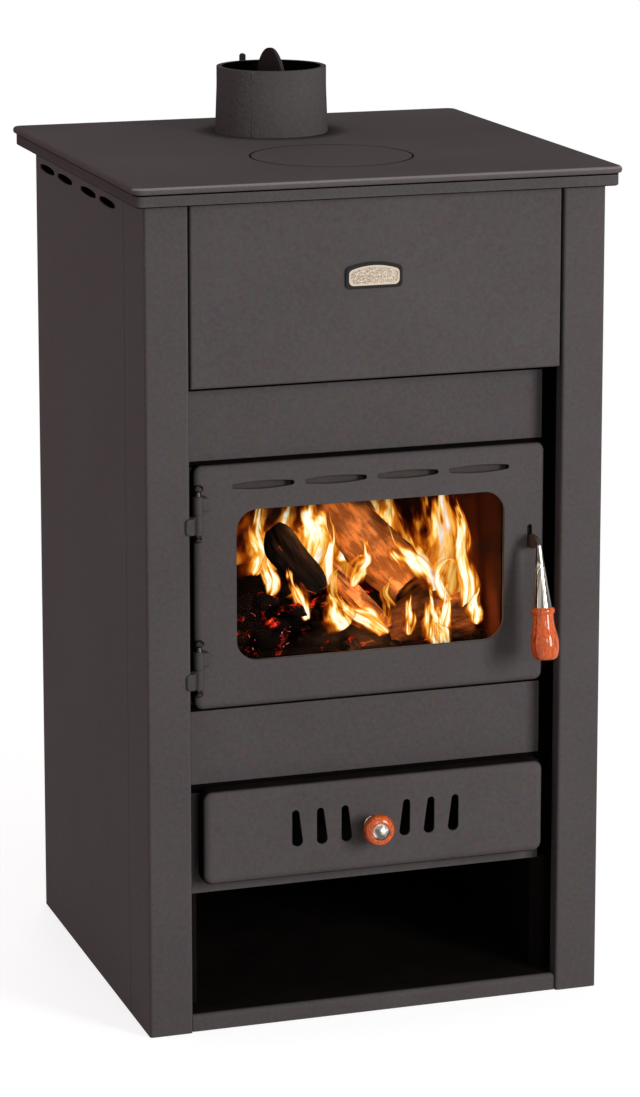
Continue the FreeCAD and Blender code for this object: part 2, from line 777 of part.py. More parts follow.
def fire_grate():
    """The cast grate: a rim on the hearth plate and slotted bars in the opening."""
    middle = grate_middle()
    rim = block((-GRATE_HALF_X, GRATE_HALF_X), (middle - GRATE_HALF_Y, middle + GRATE_HALF_Y),
                (HEARTH_TOP, HEARTH_TOP + GRATE_RIM))
    half_x = GRATE_HALF_X - GRATE_LAP - GRATE_GAP
    half_y = GRATE_HALF_Y - GRATE_LAP - GRATE_GAP
    low = HEARTH_TOP + GRATE_RIM - GRATE_DEPTH
    grate = joined(rim, block((-half_x, half_x), (middle - half_y, middle + half_y), (low, HEARTH_TOP)))
    pitch = (2 * half_x - GRATE_SLOT_MARGIN) / GRATE_SLOTS
    slot_y = (middle - half_y + GRATE_SLOT_MARGIN, middle + half_y - GRATE_SLOT_MARGIN)
    for index in range(GRATE_SLOTS):
        x = (index - (GRATE_SLOTS - 1) / 2) * pitch
        slot_x = (x - GRATE_SLOT_WIDTH / 2, x + GRATE_SLOT_WIDTH / 2)
        grate = grate.cut(block(slot_x, slot_y, (low - 1, HEARTH_TOP + GRATE_RIM + 1)))
    return grate


def socket_places():
    """Every socket: its foot on the boiler's back, outer radius, bore and length."""
    return [
        (V(SOCKET_X, BOILER_BACK_Y, FLOW_Z), SOCKET_RADIUS, SOCKET_BORE, SOCKET_LENGTH),
        (V(-SOCKET_X, BOILER_BACK_Y, RETURN_Z), SOCKET_RADIUS, SOCKET_BORE, SOCKET_LENGTH),
        (V(SENSOR_X, BOILER_BACK_Y, FLOW_Z), SENSOR_RADIUS, SENSOR_BORE, SENSOR_LENGTH),
    ]


def water_socket(place):
    """A plain round socket that stands on the boiler's back wall."""
    at, radius, bore, length = place
    body = rod(radius, at, at + V(0, length, 0))
    return body.cut(rod(bore, at - V(0, 1, 0), at + V(0, length + 1, 0)))


# Top

def hob_limits(inset):
    """The outline of the hob in plan, drawn in by an inset."""
    half = SIDE + HOB_SIDE_LIP - inset
    return (-half, half), (FRONT - HOB_FRONT_LIP + inset, BACK + HOB_BACK_LIP - inset)


def hob_frame():
    """The skirt under the hob, with a flange that sits on the casing."""
    x, y = hob_limits(SKIRT_INSET)
    low = HOB_UNDER - SKIRT_DROP
    frame = plan_block(x, y, (low, HOB_UNDER), HOB_CORNER - SKIRT_INSET)
    frame = frame.makeFillet(SKIRT_NOSE, edges_on(frame, V(0, 0, 1), low))
    x, y = hob_limits(SKIRT_INSET + SKIRT_WALL)
    frame = frame.cut(block(x, y, (low - 1, CASING_TOP)))
    well = block((-SIDE + FRAME_SEAT, SIDE - FRAME_SEAT), (FRONT + FRAME_SEAT, BACK - FRAME_BACK_SEAT),
                 (low, HOB_UNDER + 1))
    return frame.cut(well)


def hob_plate():
    """The cast hob with a rounded lip, the seat of the lid and the flue hole."""
    x, y = hob_limits(0)
    plate = plan_block(x, y, (HOB_UNDER, HOB_HEIGHT), HOB_CORNER)
    plate = plate.makeFillet(HOB_TOP_NOSE, edges_on(plate, V(0, 0, 1), HOB_HEIGHT))
    plate = plate.makeFillet(HOB_UNDER_NOSE, edges_on(plate, V(0, 0, 1), HOB_UNDER))
    seat = LID_AT - V(0, 0, LID_RIM + SEAT_GAP)
    plate = plate.cut(rod(LID_RADIUS + LID_GAP, seat, LID_AT + V(0, 0, 1)))
    plate = plate.cut(rod(LID_RADIUS - LID_LEDGE, LID_AT - V(0, 0, 2 * HOB_THICKNESS), LID_AT))
    under = COLLAR_AT - V(0, 0, HOB_THICKNESS)
    plate = plate.cut(rod(COLLAR_FLANGE_BORE, under - V(0, 0, 1), COLLAR_AT + V(0, 0, 1)))
    for at in collar_bolt_places():
        plate = plate.cut(rod(COLLAR_BOLT_RADIUS + TINY, at - V(0, 0, 1), at + V(0, 0, 2 * HOB_THICKNESS)))
    return plate


def hob_lid():
    """The round lid: a rim on the seat and a boss in the hole."""
    rim = rod(LID_RADIUS, LID_AT - V(0, 0, LID_RIM), LID_AT)
    boss_radius = LID_RADIUS - LID_LEDGE - LID_GAP
    boss = rod(boss_radius, LID_AT - V(0, 0, LID_RIM + LID_BOSS), LID_AT - V(0, 0, LID_RIM))
    return joined(rim, boss)


def collar_bolt_places():
    """The bolts' places on the underside of the hob, clear of the damper's plane."""
    ring = (COLLAR_FLANGE_BORE + COLLAR_BASE_RADIUS - COLLAR_WALL) / 2
    places = []
    for index in range(COLLAR_BOLTS):
        turn = math.radians(360 / COLLAR_BOLTS * (index + 0.5))
        offset = V(ring * math.cos(turn), ring * math.sin(turn), -HOB_THICKNESS)
        places.append(COLLAR_AT + offset)
    return places


def flue_collar():
    """The cast collar: a taper, a straight land for the flue pipe and a bolted flange inside."""
    taper_height = COLLAR_HEIGHT - COLLAR_LAND
    taper = Part.makeCone(COLLAR_BASE_RADIUS, COLLAR_TOP_RADIUS, taper_height, COLLAR_AT)
    land_at = COLLAR_AT + V(0, 0, taper_height)
    land = Part.makeCylinder(COLLAR_TOP_RADIUS, COLLAR_LAND, land_at)
    flange_at = COLLAR_AT + V(0, 0, COLLAR_FLANGE)
    bore_top = COLLAR_TOP_RADIUS - COLLAR_WALL
    bore = Part.makeCone(COLLAR_BASE_RADIUS - COLLAR_WALL, bore_top, taper_height - COLLAR_FLANGE, flange_at)
    mouth = Part.makeCylinder(bore_top, COLLAR_LAND + 1, land_at)
    throat = rod(COLLAR_FLANGE_BORE, COLLAR_AT - V(0, 0, 1), flange_at)
    collar = taper.fuse(land).cut(bore.fuse([mouth, throat]))
    bolt_reach = V(0, 0, HOB_THICKNESS + COLLAR_FLANGE + 1)
    for at in collar_bolt_places():
        collar = collar.cut(rod(COLLAR_BOLT_RADIUS + TINY, at, at + bolt_reach))
    start, end = spindle_ends()
    return collar.cut(rod(SPINDLE_RADIUS + HINGE_RUNNING, start - V(0, SEAT_GAP, 0), end))


def collar_bolts():
    """Hexagon bolts that hold the collar's flange from below."""
    bolts = []
    for at in collar_bolt_places():
        shank = rod(COLLAR_BOLT_RADIUS, at, at + V(0, 0, HOB_THICKNESS + COLLAR_FLANGE))
        corners = []
        for index in range(7):
            turn = math.radians(60 * index)
            corners.append(at + V(math.cos(turn), math.sin(turn), 0) * COLLAR_BOLT_HEAD_RADIUS)
        head = Part.Face(Part.makePolygon(corners)).extrude(V(0, 0, -COLLAR_BOLT_HEAD))
        bolts.append(joined(shank, head))
    return Part.makeCompound(bolts)


# Damper

def collar_bore_at_spindle():
    """The radius of the collar's bore at the height of the spindle."""
    rise = SPINDLE_RISE - COLLAR_FLANGE
    run = COLLAR_HEIGHT - COLLAR_LAND - COLLAR_FLANGE
    return COLLAR_BASE_RADIUS - COLLAR_WALL - (COLLAR_BASE_RADIUS - COLLAR_TOP_RADIUS) * rise / run


def spindle_ends():
    """The spindle's front end, in a blind hole of the collar, and its back end."""
    bore = collar_bore_at_spindle()
    front = V(0, COLLAR_AT.y - bore - SPINDLE_BLIND, SPINDLE_Z)
    back = V(0, COLLAR_AT.y + COLLAR_BASE_RADIUS + SPINDLE_OVERHANG, SPINDLE_Z)
    return front, back


def damper_disc():
    """The disc that stands upright while the flue is open, with a boss round the spindle."""
    middle = V(0, COLLAR_AT.y, SPINDLE_Z)
    radius = collar_bore_at_spindle() - DISC_CLEARANCE
    half = V(DISC_THICKNESS / 2, 0, 0)
    disc = rod(radius, middle - half, middle + half)
    disc = disc.makeFillet(DISC_THICKNESS / 4, disc.Edges)
    reach = V(0, radius - DISC_BOSS_INSET, 0)
    disc = joined(disc, rod(DISC_BOSS_RADIUS, middle - reach, middle + reach))
    start, end = spindle_ends()
    return disc.cut(rod(SPINDLE_RADIUS + TINY, start, end))


def damper_spindle():
    """The round spindle along the depth of the stove."""
    return rod(SPINDLE_RADIUS, *spindle_ends())


def damper_lever():
    """The flat finger lever at the back end of the spindle."""
    _, end = spindle_ends()
    eye_start = end - V(0, LEVER_THICKNESS, 0)
    half = LEVER_WIDTH / 2
    finger = block((-half, half), (eye_start.y, end.y), (SPINDLE_Z, SPINDLE_Z + LEVER_RISE))
    crown = [e for e in edges_along(finger, V(0, 1, 0)) if e.CenterOfMass.z > SPINDLE_Z + LEVER_RISE / 2]
    finger = finger.makeFillet(half * 0.9, crown)
    eye = rod(LEVER_EYE_RADIUS, eye_start, end)
    return joined(eye, finger).cut(rod(SPINDLE_RADIUS + TINY, eye_start - V(0, 1, 0), end + V(0, 1, 0)))


# Door

def door_panel():
    """The pressed door: window, four air slots and the slot of the latch lever."""
    panel = pressed_pan((-DOOR_HALF, DOOR_HALF), (DOOR_Y, DOOR_Y + DOOR_DEPTH), (DOOR_BOTTOM, DOOR_TOP),
                        DOOR_SHEET, DOOR_CORNER, DOOR_NOSE)
    through = (DOOR_Y - DOOR_SHEET, DOOR_SHEET_BACK + DOOR_SHEET)
    window = rounded_block((-WINDOW_HALF, WINDOW_HALF), through, (WINDOW_BOTTOM, WINDOW_TOP), WINDOW_CORNER)
    panel = panel.cut(window)
    for index in range(4):
        at = V((index - 1.5) * AIR_SLOT_PITCH, through[0], AIR_SLOT_Z)
        panel = panel.cut(lens_slot(at, V(1, 0, 0), V(0, 0, 1), V(0, 3 * DOOR_SHEET, 0),
                                    AIR_SLOT_LENGTH, AIR_SLOT_END, AIR_SLOT_MIDDLE))
    half = SLOT_WIDTH / 2
    latch = rounded_block((LATCH_X - half, LATCH_X + half), through,
                          (LATCH_Z - SLOT_BELOW, LATCH_Z + SLOT_ABOVE), half * 0.95)
    return panel.cut(latch)


def glass_limits():
    """The glass seen from the front as (low, high) pairs."""
    half = WINDOW_HALF + GLASS_LAP
    return (-half, half), (WINDOW_BOTTOM - GLASS_LAP, WINDOW_TOP + GLASS_LAP)


def door_glass():
    """The flat window glass behind the door panel."""
    x, z = glass_limits()
    return rounded_block(x, (GLASS_Y, GLASS_BACK), z, GLASS_CORNER)


def glass_gasket():
    """The flat seal between the door panel and the glass."""
    x, z = glass_limits()
    y = (DOOR_SHEET_BACK, GLASS_Y)
    gasket = rounded_block(x, y, z, GLASS_CORNER)
    window = rounded_block((-WINDOW_HALF, WINDOW_HALF), (y[0] - 1, y[1] + 1), (WINDOW_BOTTOM, WINDOW_TOP),
                           WINDOW_CORNER)
    return gasket.cut(window)


def clip_places():
    """Each glass clip as (x, edge of the glass, direction away from the glass)."""
    _, z = glass_limits()
    places = []
    for side in (-1, 1):
        places.append((side * AIR_SLOT_PITCH, z[1], 1))
        places.append((side * AIR_SLOT_PITCH, z[0], -1))
    return places


def span(first, second):
    """Two levels in rising order."""
    return min(first, second), max(first, second)


def clip_screw_place(x, edge, away):
    """The screw's point on the foot of a clip."""
    return V(x, DOOR_SHEET_BACK + CLIP_SHEET, edge + away * (CLIP_GAP + CLIP_SHEET + CLIP_FOOT) / 2
             + away * CLIP_HEAD_RADIUS / 2)


def glass_clips():
    """Four bent clips that press the glass to its gasket."""
    clips = []
    for x, edge, away in clip_places():
        wide = (x - CLIP_WIDTH / 2, x + CLIP_WIDTH / 2)
        near = edge + away * CLIP_GAP
        top = GLASS_BACK + CLIP_SHEET
        foot = block(wide, (DOOR_SHEET_BACK, DOOR_SHEET_BACK + CLIP_SHEET),
                     span(near, edge + away * CLIP_FOOT))
        riser = block(wide, (DOOR_SHEET_BACK, top), span(near, near + away * CLIP_SHEET))
        tongue = block(wide, (GLASS_BACK, top), span(near + away * CLIP_SHEET, edge - away * CLIP_TONGUE))
        clip = joined(foot, riser, tongue)
        at = clip_screw_place(x, edge, away)
        clips.append(clip.cut(rod(CLIP_SCREW_RADIUS + TINY, at - V(0, 2 * CLIP_SHEET, 0), at + V(0, 1, 0))))
    return Part.makeCompound(clips)


def clip_screws():
    """One small screw in the foot of each clip."""
    screws = []
    for place in clip_places():
        at = clip_screw_place(*place)
        shank = rod(CLIP_SCREW_RADIUS, at - V(0, CLIP_SHEET, 0), at)
        head = rod(CLIP_HEAD_RADIUS, at, at + V(0, CLIP_HEAD, 0))
        screws.append(joined(shank, head))
    return Part.makeCompound(screws)


def rope_ring(outset, y):
    """A solid inside the rope's middle line, let out by an outset."""
    x = (-ROPE_X - outset, ROPE_X + outset)
    z = (DOOR_BOTTOM + ROPE_BOTTOM_INSET - outset, DOOR_TOP - ROPE_TOP_INSET + outset)
    return rounded_block(x, y, z, ROPE_CORNER + outset)


def rope_channel():
    """The shallow channel that holds the rope: a flat base and an outer lip."""
    half = ROPE_WIDTH / 2
    top = DOOR_SHEET_BACK + CHANNEL_SHEET
    outer = rope_ring(half + CHANNEL_SHEET, (DOOR_SHEET_BACK, top + CHANNEL_LIP))
    outer = outer.cut(rope_ring(half, (top, top + CHANNEL_LIP + 1)))
    return outer.cut(rope_ring(-half, (DOOR_SHEET_BACK - 1, top + 1)))


def door_rope_seal():
    """The rope round the door, a hair short of the boiler front."""
    half = ROPE_WIDTH / 2
    y = (DOOR_SHEET_BACK + CHANNEL_SHEET, FASCIA_Y - ROPE_GAP)
    rope = rope_ring(half, y).cut(rope_ring(-half, (y[0] - 1, y[1] + 1)))
    return rope.makeFillet(ROPE_ROUND, edges_on(rope, V(0, 1, 0), y[1]))


def air_wash_plate():
    """The bent plate behind the air slots, which turns the air down over the glass."""
    back = GLASS_BACK + CLIP_SHEET + FIT_GAP
    top = DOOR_TOP - ROPE_TOP_INSET - ROPE_WIDTH / 2 - FIT_GAP
    _, glass_z = glass_limits()
    half = ROPE_X - ROPE_CORNER - FIT_GAP
    x = (-half, half)
    face = block(x, (back, back + AIR_WASH_SHEET), (glass_z[1] - AIR_WASH_LAP, top))
    cap = block(x, (DOOR_SHEET_BACK, back + AIR_WASH_SHEET), (top - AIR_WASH_SHEET, top))
    return joined(face, cap)


# Hinges

def hinge_feet():
    """The bottom level of each hinge."""
    length = HINGE_FINIAL + HINGE_POST_KNUCKLE + HINGE_KNUCKLE_GAP + HINGE_DOOR_KNUCKLE
    length += HINGE_NECK + HINGE_HEAD
    return DOOR_BOTTOM + HINGE_INSET, DOOR_TOP - HINGE_INSET - length


def hinge_barrel(low, high):
    """A bored barrel on the hinge line between two levels."""
    at = V(HINGE_X, FRONT + HINGE_Y, low)
    top = V(at.x, at.y, high)
    return rod(HINGE_BARREL, at, top), rod(HINGE_PIN + HINGE_RUNNING, at - V(0, 0, 1), top + V(0, 0, 1))


def post_knuckles():
    """The lower knuckles, each with a pad on the face of the left post and a web to the barrel."""
    knuckles = []
    for foot in hinge_feet():
        low = foot + HINGE_FINIAL
        high = low + HINGE_POST_KNUCKLE
        barrel, bore = hinge_barrel(low, high)
        outer = -POST_INNER - HINGE_PAD_REACH
        face = FRONT - HINGE_PAD_DEPTH
        corner = -POST_INNER + FIT_GAP
        barrel_y = FRONT + HINGE_Y
        plan = [
            (outer, FRONT),
            (outer, face),
            (outer + HINGE_PAD_WIDTH, face),
            (HINGE_X - HINGE_PIN, barrel_y - HINGE_PIN),
            (HINGE_X - HINGE_PIN, barrel_y),
            (corner, barrel_y),
            (corner, FRONT),
            (outer, FRONT),
        ]
        points = [V(x, y, low + HINGE_EAR_INSET) for x, y in plan]
        height = HINGE_POST_KNUCKLE - 2 * HINGE_EAR_INSET
        ear = Part.Face(Part.makePolygon(points)).extrude(V(0, 0, height))
        ends = [e for e in edges_along(ear, V(0, 1, 0)) if abs(e.CenterOfMass.x - outer) < TINY]
        ear = ear.makeFillet(HINGE_PAD_CORNER, ends)
        ear = ear.makeFillet(HINGE_PAD_DEPTH * 0.8, edges_on(ear, V(0, 1, 0), face))
        knuckles.append(joined(barrel, ear).cut(bore))
    return Part.makeCompound(knuckles)


def door_knuckles():
    """The upper knuckles, each with an ear on the face of the door."""
    knuckles = []
    for foot in hinge_feet():
        low = foot + HINGE_FINIAL + HINGE_POST_KNUCKLE + HINGE_KNUCKLE_GAP
        high = low + HINGE_DOOR_KNUCKLE
        barrel, bore = hinge_barrel(low, high)
        front = FRONT + HINGE_Y - HINGE_BARREL / 2
        ear = block((HINGE_X, HINGE_X + HINGE_EAR), (front, DOOR_Y),
                    (low + HINGE_EAR_INSET, high - HINGE_EAR_INSET))
        tip = HINGE_X + HINGE_EAR
        ear = ear.makeFillet(HINGE_EAR_CORNER, [e for e in edges_along(ear, V(0, 1, 0))
                                                if abs(e.CenterOfMass.x - tip) < TINY])
        rim = [e for e in edges_on(ear, V(0, 1, 0), front) if abs(e.CenterOfMass.x - HINGE_X) > TINY]
        ear = ear.makeFillet(HINGE_EAR_EDGE, rim)
        knuckles.append(joined(barrel, ear).cut(bore))
    return Part.makeCompound(knuckles)


def hinge_pins():
    """Pins with a turned finial below, a neck and a flat head above."""
    pins = []
    for foot in hinge_feet():
        neck = HINGE_FINIAL + HINGE_POST_KNUCKLE + HINGE_DOOR_KNUCKLE + 2 * HINGE_KNUCKLE_GAP
        head = neck + HINGE_NECK - HINGE_KNUCKLE_GAP
        profile = [
            (0, HINGE_PIN * 0.7),
            (HINGE_FINIAL * 0.2, HINGE_NECK_RADIUS * 1.1),
            (HINGE_FINIAL * 0.45, HINGE_NECK_RADIUS * 1.1),
            (HINGE_FINIAL * 0.65, HINGE_PIN),
            (HINGE_FINIAL, HINGE_NECK_RADIUS),
            (HINGE_FINIAL, HINGE_PIN),
            (neck, HINGE_PIN),
            (neck, HINGE_NECK_RADIUS),
            (head - HINGE_NECK * 0.3, HINGE_PIN),
            (head, HINGE_HEAD_RADIUS),
            (head + HINGE_HEAD * 0.6, HINGE_HEAD_RADIUS),
            (head + HINGE_HEAD, HINGE_HEAD_RADIUS * 0.7),
        ]
        pins.append(turned(profile, V(HINGE_X, FRONT + HINGE_Y, foot), V(0, 0, 1)))
    return Part.makeCompound(pins)


# Latch and handle

def latch_point(forward, above):
    """A point in the lever's plane, measured from the latch pin."""
    return V(LATCH_X - STRAP_THICKNESS / 2, LATCH_Y - forward, LATCH_Z + above)


def handle_axis():
    """The direction in which the cone and the grip hang."""
    lean = math.radians(HANDLE_LEAN)
    return V(0, -math.sin(lean), -math.cos(lean))


def handle_top():
    """The middle of the cone's upper end."""
    return V(LATCH_X, HANDLE_Y, LATCH_Z)


def latch_lever():
    """The flat lever: a nose and a cam at the pin, a strap out through the door and a round tang."""
    sheet_side = LATCH_BEHIND_SHEET - LATCH_CAM / 3
    door_front = LATCH_BEHIND_SHEET + DOOR_SHEET
    cam_top = LATCH_CAM * 0.8
    crown = STRAP_FORWARD - STRAP_ABOVE
    strap = prism([
        line(latch_point(sheet_side, -STRAP_BELOW), latch_point(sheet_side, cam_top)),
        line(latch_point(sheet_side, cam_top), latch_point(door_front, cam_top)),
        line(latch_point(door_front, cam_top), latch_point(door_front + STRAP_SHOULDER, STRAP_ABOVE)),
        line(latch_point(door_front + STRAP_SHOULDER, STRAP_ABOVE), latch_point(crown, STRAP_ABOVE)),
        arc(latch_point(crown, STRAP_ABOVE),
            latch_point(crown + STRAP_ABOVE * 0.8, STRAP_ABOVE * 0.6),
            latch_point(STRAP_FORWARD + TANG_RADIUS, 0)),
        line(latch_point(STRAP_FORWARD + TANG_RADIUS, 0), latch_point(STRAP_FORWARD - TANG_RADIUS, 0)),
        arc(latch_point(STRAP_FORWARD - TANG_RADIUS, 0),
            latch_point(crown - STRAP_ABOVE * 0.4, -STRAP_BELOW * 0.55),
            latch_point(STRAP_FORWARD / 2, -STRAP_BELOW)),
        line(latch_point(STRAP_FORWARD / 2, -STRAP_BELOW), latch_point(sheet_side, -STRAP_BELOW)),
    ], V(STRAP_THICKNESS, 0, 0))
    cam = rod(LATCH_CAM, latch_point(0, 0), latch_point(0, 0) + V(STRAP_THICKNESS, 0, 0))
    bar = prism([
        line(latch_point(0, -LATCH_CAM), latch_point(0, cam_top)),
        line(latch_point(0, cam_top), latch_point(sheet_side + 1, cam_top)),
        line(latch_point(sheet_side + 1, cam_top), latch_point(sheet_side + 1, -LATCH_CAM)),
        line(latch_point(sheet_side + 1, -LATCH_CAM), latch_point(0, -LATCH_CAM)),
    ], V(STRAP_THICKNESS, 0, 0))
    nose = prism([
        line(latch_point(-LATCH_NOSE_REACH / 2, -LATCH_NOSE_HEIGHT), latch_point(-LATCH_NOSE_REACH, 0)),
        line(latch_point(-LATCH_NOSE_REACH, 0), latch_point(-LATCH_NOSE_REACH, LATCH_NOSE_HEIGHT)),
        line(latch_point(-LATCH_NOSE_REACH, LATCH_NOSE_HEIGHT), latch_point(0, LATCH_NOSE_HEIGHT)),
        line(latch_point(0, LATCH_NOSE_HEIGHT), latch_point(-LATCH_NOSE_REACH / 2, -LATCH_NOSE_HEIGHT)),
    ], V(STRAP_THICKNESS, 0, 0))
    top = handle_top()
    tang = rod(TANG_RADIUS, top, top + handle_axis() * (CONE_LENGTH + TANG_DEPTH))
    lever = joined(strap, cam, bar, nose, tang)
    hole_start = latch_point(0, 0) - V(1, 0, 0)
    return lever.cut(rod(LATCH_PIN + LATCH_RUNNING, hole_start, hole_start + V(STRAP_THICKNESS + 2, 0, 0)))


def bracket_cheeks():
    """The inner and outer faces of the bracket's cheeks, measured from the lever's plane."""
    inner = STRAP_THICKNESS / 2 + BRACKET_GAP
    return inner, inner + BRACKET_CHEEK


def latch_bracket():
    """Two cheeks on the back of the door panel, which carry the latch pin."""
    inner, outer = bracket_cheeks()
    depth = (DOOR_SHEET_BACK, LATCH_Y + LATCH_CAM)
    height = (LATCH_Z - BRACKET_BELOW, LATCH_Z + BRACKET_ABOVE)
    at = V(LATCH_X, LATCH_Y, LATCH_Z)
    reach = V(2 * outer, 0, 0)
    hole = rod(LATCH_PIN + TINY, at - reach, at + reach)
    cheeks = []
    for side in (-1, 1):
        cheek = block(span(LATCH_X + side * inner, LATCH_X + side * outer), depth, height)
        cheeks.append(cheek.cut(hole))
    return Part.makeCompound(cheeks)


def latch_pin():
    """The pin through the cheeks and the lever."""
    _, outer = bracket_cheeks()
    return rod(LATCH_PIN, V(LATCH_X - outer, LATCH_Y, LATCH_Z), V(LATCH_X + outer, LATCH_Y, LATCH_Z))


def latch_keeper():
    """A bent strip on the boiler front whose lip hangs just above the latch nose."""
    x = (LATCH_X - KEEPER_HALF, LATCH_X + KEEPER_HALF)
    low = LATCH_Z + LATCH_CAM + KEEPER_CLEAR
    shelf = low + KEEPER_LIP
    lip_y = LATCH_Y - KEEPER_SHEET / 2
    lip = block(x, (lip_y, lip_y + KEEPER_SHEET), (low, shelf))
    ledge = block(x, (lip_y, FASCIA_Y), (shelf - KEEPER_SHEET, shelf))
    foot = block(x, (FASCIA_Y - KEEPER_SHEET, FASCIA_Y), (shelf - KEEPER_SHEET, shelf + KEEPER_FOOT))
    return joined(lip, ledge, foot)


def handle_cone():
    """The polished cone between the strap and the grip."""
    profile = [
        (0, CONE_TOP_RADIUS),
        (CONE_LENGTH, CONE_BASE_RADIUS),
    ]
    cone = turned(profile, handle_top(), handle_axis())
    strap_room = block((LATCH_X - STRAP_THICKNESS / 2, LATCH_X + STRAP_THICKNESS / 2),
                       (HANDLE_Y - 2 * STRAP_ABOVE, LATCH_Y), (LATCH_Z, LATCH_Z + STRAP_ABOVE))
    return cone.cut(tang_hole(0, CONE_LENGTH + 1)).cut(strap_room)


def tang_hole(start, end):
    """The hole for the tang between two distances along the handle."""
    top = handle_top()
    axis = handle_axis()
    return rod(TANG_RADIUS + TANG_FIT, top + axis * (start - 1), top + axis * end)


def handle_grip():
    """The turned wooden grip: a bead, a waist and a full belly with a soft end."""
    def at(share):
        return share * GRIP_LENGTH
    outline = [
        V(GRIP_BEAD_RADIUS * 0.86, 0, 0),
        V(GRIP_BEAD_RADIUS, 0, at(0.06)),
        V(GRIP_BEAD_RADIUS * 0.88, 0, at(0.13)),
        V(GRIP_WAIST_RADIUS, 0, at(0.28)),
        V((GRIP_WAIST_RADIUS + GRIP_BELLY_RADIUS) / 2, 0, at(0.47)),
        V(GRIP_BELLY_RADIUS, 0, at(0.73)),
        V(GRIP_BELLY_RADIUS * 0.88, 0, at(0.92)),
        V(GRIP_END_RADIUS, 0, at(1)),
    ]
    bead = arc(outline[0], outline[1], outline[2])
    waist = arc(outline[2], outline[3], outline[4])
    belly = arc(outline[4], outline[5], outline[6])
    end = arc(outline[6], (outline[6] + outline[7]) / 2 + V(0.7, 0, 0.7), outline[7])
    foot = V(0, 0, GRIP_LENGTH)
    top = V(0, 0, 0)
    edges = [bead, waist, belly, end, line(outline[7], foot), line(foot, top), line(top, outline[0])]
    grip = Part.Face(Part.Wire(edges)).revolve(V(0, 0, 0), V(0, 0, 1), 360)
    start = handle_top() + handle_axis() * CONE_LENGTH
    grip.Placement = FreeCAD.Placement(start, FreeCAD.Rotation(V(0, 0, 1), handle_axis()))
    return grip.cut(tang_hole(CONE_LENGTH, CONE_LENGTH + TANG_DEPTH + TANG_FIT))


# Ash drawer

def drawer_slots(relief, y, depth, shift):
    """The cutters of the six drop-shaped slots, let out by a relief and moved sideways by a shift."""
    slots = []
    for side in (-1, 1):
        for index in range(DRAWER_SLOT_COUNT):
            middle = DRAWER_SLOT_FIRST + index * DRAWER_SLOT_PITCH
            outer_x = side * (middle + DRAWER_SLOT_LOW_RADIUS + relief)
            slot = drop_slot(outer_x, side, DRAWER_SLOT_LOW - relief, DRAWER_SLOT_HIGH + relief,
                             DRAWER_SLOT_TOP_RADIUS + relief, DRAWER_SLOT_LOW_RADIUS + relief, y, depth)
            slot.translate(V(shift, 0, 0))
            slots.append(slot)
    return slots


def drawer_front():
    """The pressed drawer front with six slots and a short slot for the knob's bolt."""
    front = pressed_pan((-DRAWER_HALF, DRAWER_HALF), (DRAWER_Y, DRAWER_Y + DRAWER_DEPTH),
                        (DRAWER_BOTTOM, DRAWER_TOP), DRAWER_SHEET, DRAWER_CORNER, DRAWER_NOSE)
    start = DRAWER_Y - DRAWER_SHEET
    for slot in drawer_slots(0, start, 3 * DRAWER_SHEET, 0):
        front = front.cut(slot)
    radius = KNOB_BOLT_RADIUS + SHUTTER_GAP
    bolt_slot = rounded_block((KNOB_X - radius, KNOB_X + SHUTTER_TRAVEL + radius),
                              (start, DRAWER_SHEET_BACK + DRAWER_SHEET),
                              (KNOB_Z - radius, KNOB_Z + radius), radius * 0.98)
    return front.cut(bolt_slot)


def ash_tray():
    """The open tray: its cheeks reach forward to the drawer front and its front sill is low."""
    x = (-TRAY_HALF, TRAY_HALF)
    y = (FRONT + TRAY_FRONT, TRAY_BACK_Y)
    tray = block(x, y, (TRAY_BOTTOM, TRAY_TOP))
    inside = block((x[0] + TRAY_SHEET, x[1] - TRAY_SHEET), (y[0] + TRAY_SHEET, y[1] - TRAY_SHEET),
                   (TRAY_BOTTOM + TRAY_SHEET, TRAY_TOP + 1))
    sill = block((x[0] + TRAY_SHEET, x[1] - TRAY_SHEET), (y[0] - 1, y[0] + 2 * TRAY_SHEET),
                 (TRAY_BOTTOM + TRAY_SILL, TRAY_TOP + 1))
    cheek = block((x[0], x[0] + TRAY_SHEET), (DRAWER_SHEET_BACK, y[0]), (TRAY_BOTTOM, TRAY_TOP))
    return joined(tray.cut(inside).cut(sill), cheek, mirrored(cheek))


def drawer_runner():
    """The left runner: an angle on the boiler's inner wall under the tray."""
    top = TRAY_BOTTOM - SEAT_GAP
    y = (FASCIA_BACK, TRAY_BACK_Y)
    shelf = block((-FIREBOX_HALF, -FIREBOX_HALF + RUNNER_WIDTH), y, (top - RUNNER_SHEET, top))
    leg = block((-FIREBOX_HALF, -FIREBOX_HALF + RUNNER_SHEET), y, (top - RUNNER_LEG, top))
    return joined(shelf, leg)


def drawer_runners():
    """Both runners."""
    left = drawer_runner()
    return Part.makeCompound([left, mirrored(left)])


# Air shutter

def shutter_limits():
    """The shutter's outline at rest as (low, high) pairs of X, Y and Z."""
    reach = DRAWER_SLOT_FIRST + (DRAWER_SLOT_COUNT - 1) * DRAWER_SLOT_PITCH + DRAWER_SLOT_LOW_RADIUS
    x = (-reach - SHUTTER_TRAVEL - SHUTTER_MARGIN, reach + SHUTTER_MARGIN)
    y = (DRAWER_SHEET_BACK + SHUTTER_GAP, DRAWER_SHEET_BACK + SHUTTER_GAP + SHUTTER_SHEET)
    z = (DRAWER_SLOT_LOW - SHUTTER_MARGIN, DRAWER_SLOT_HIGH + SHUTTER_MARGIN)
    return x, y, z


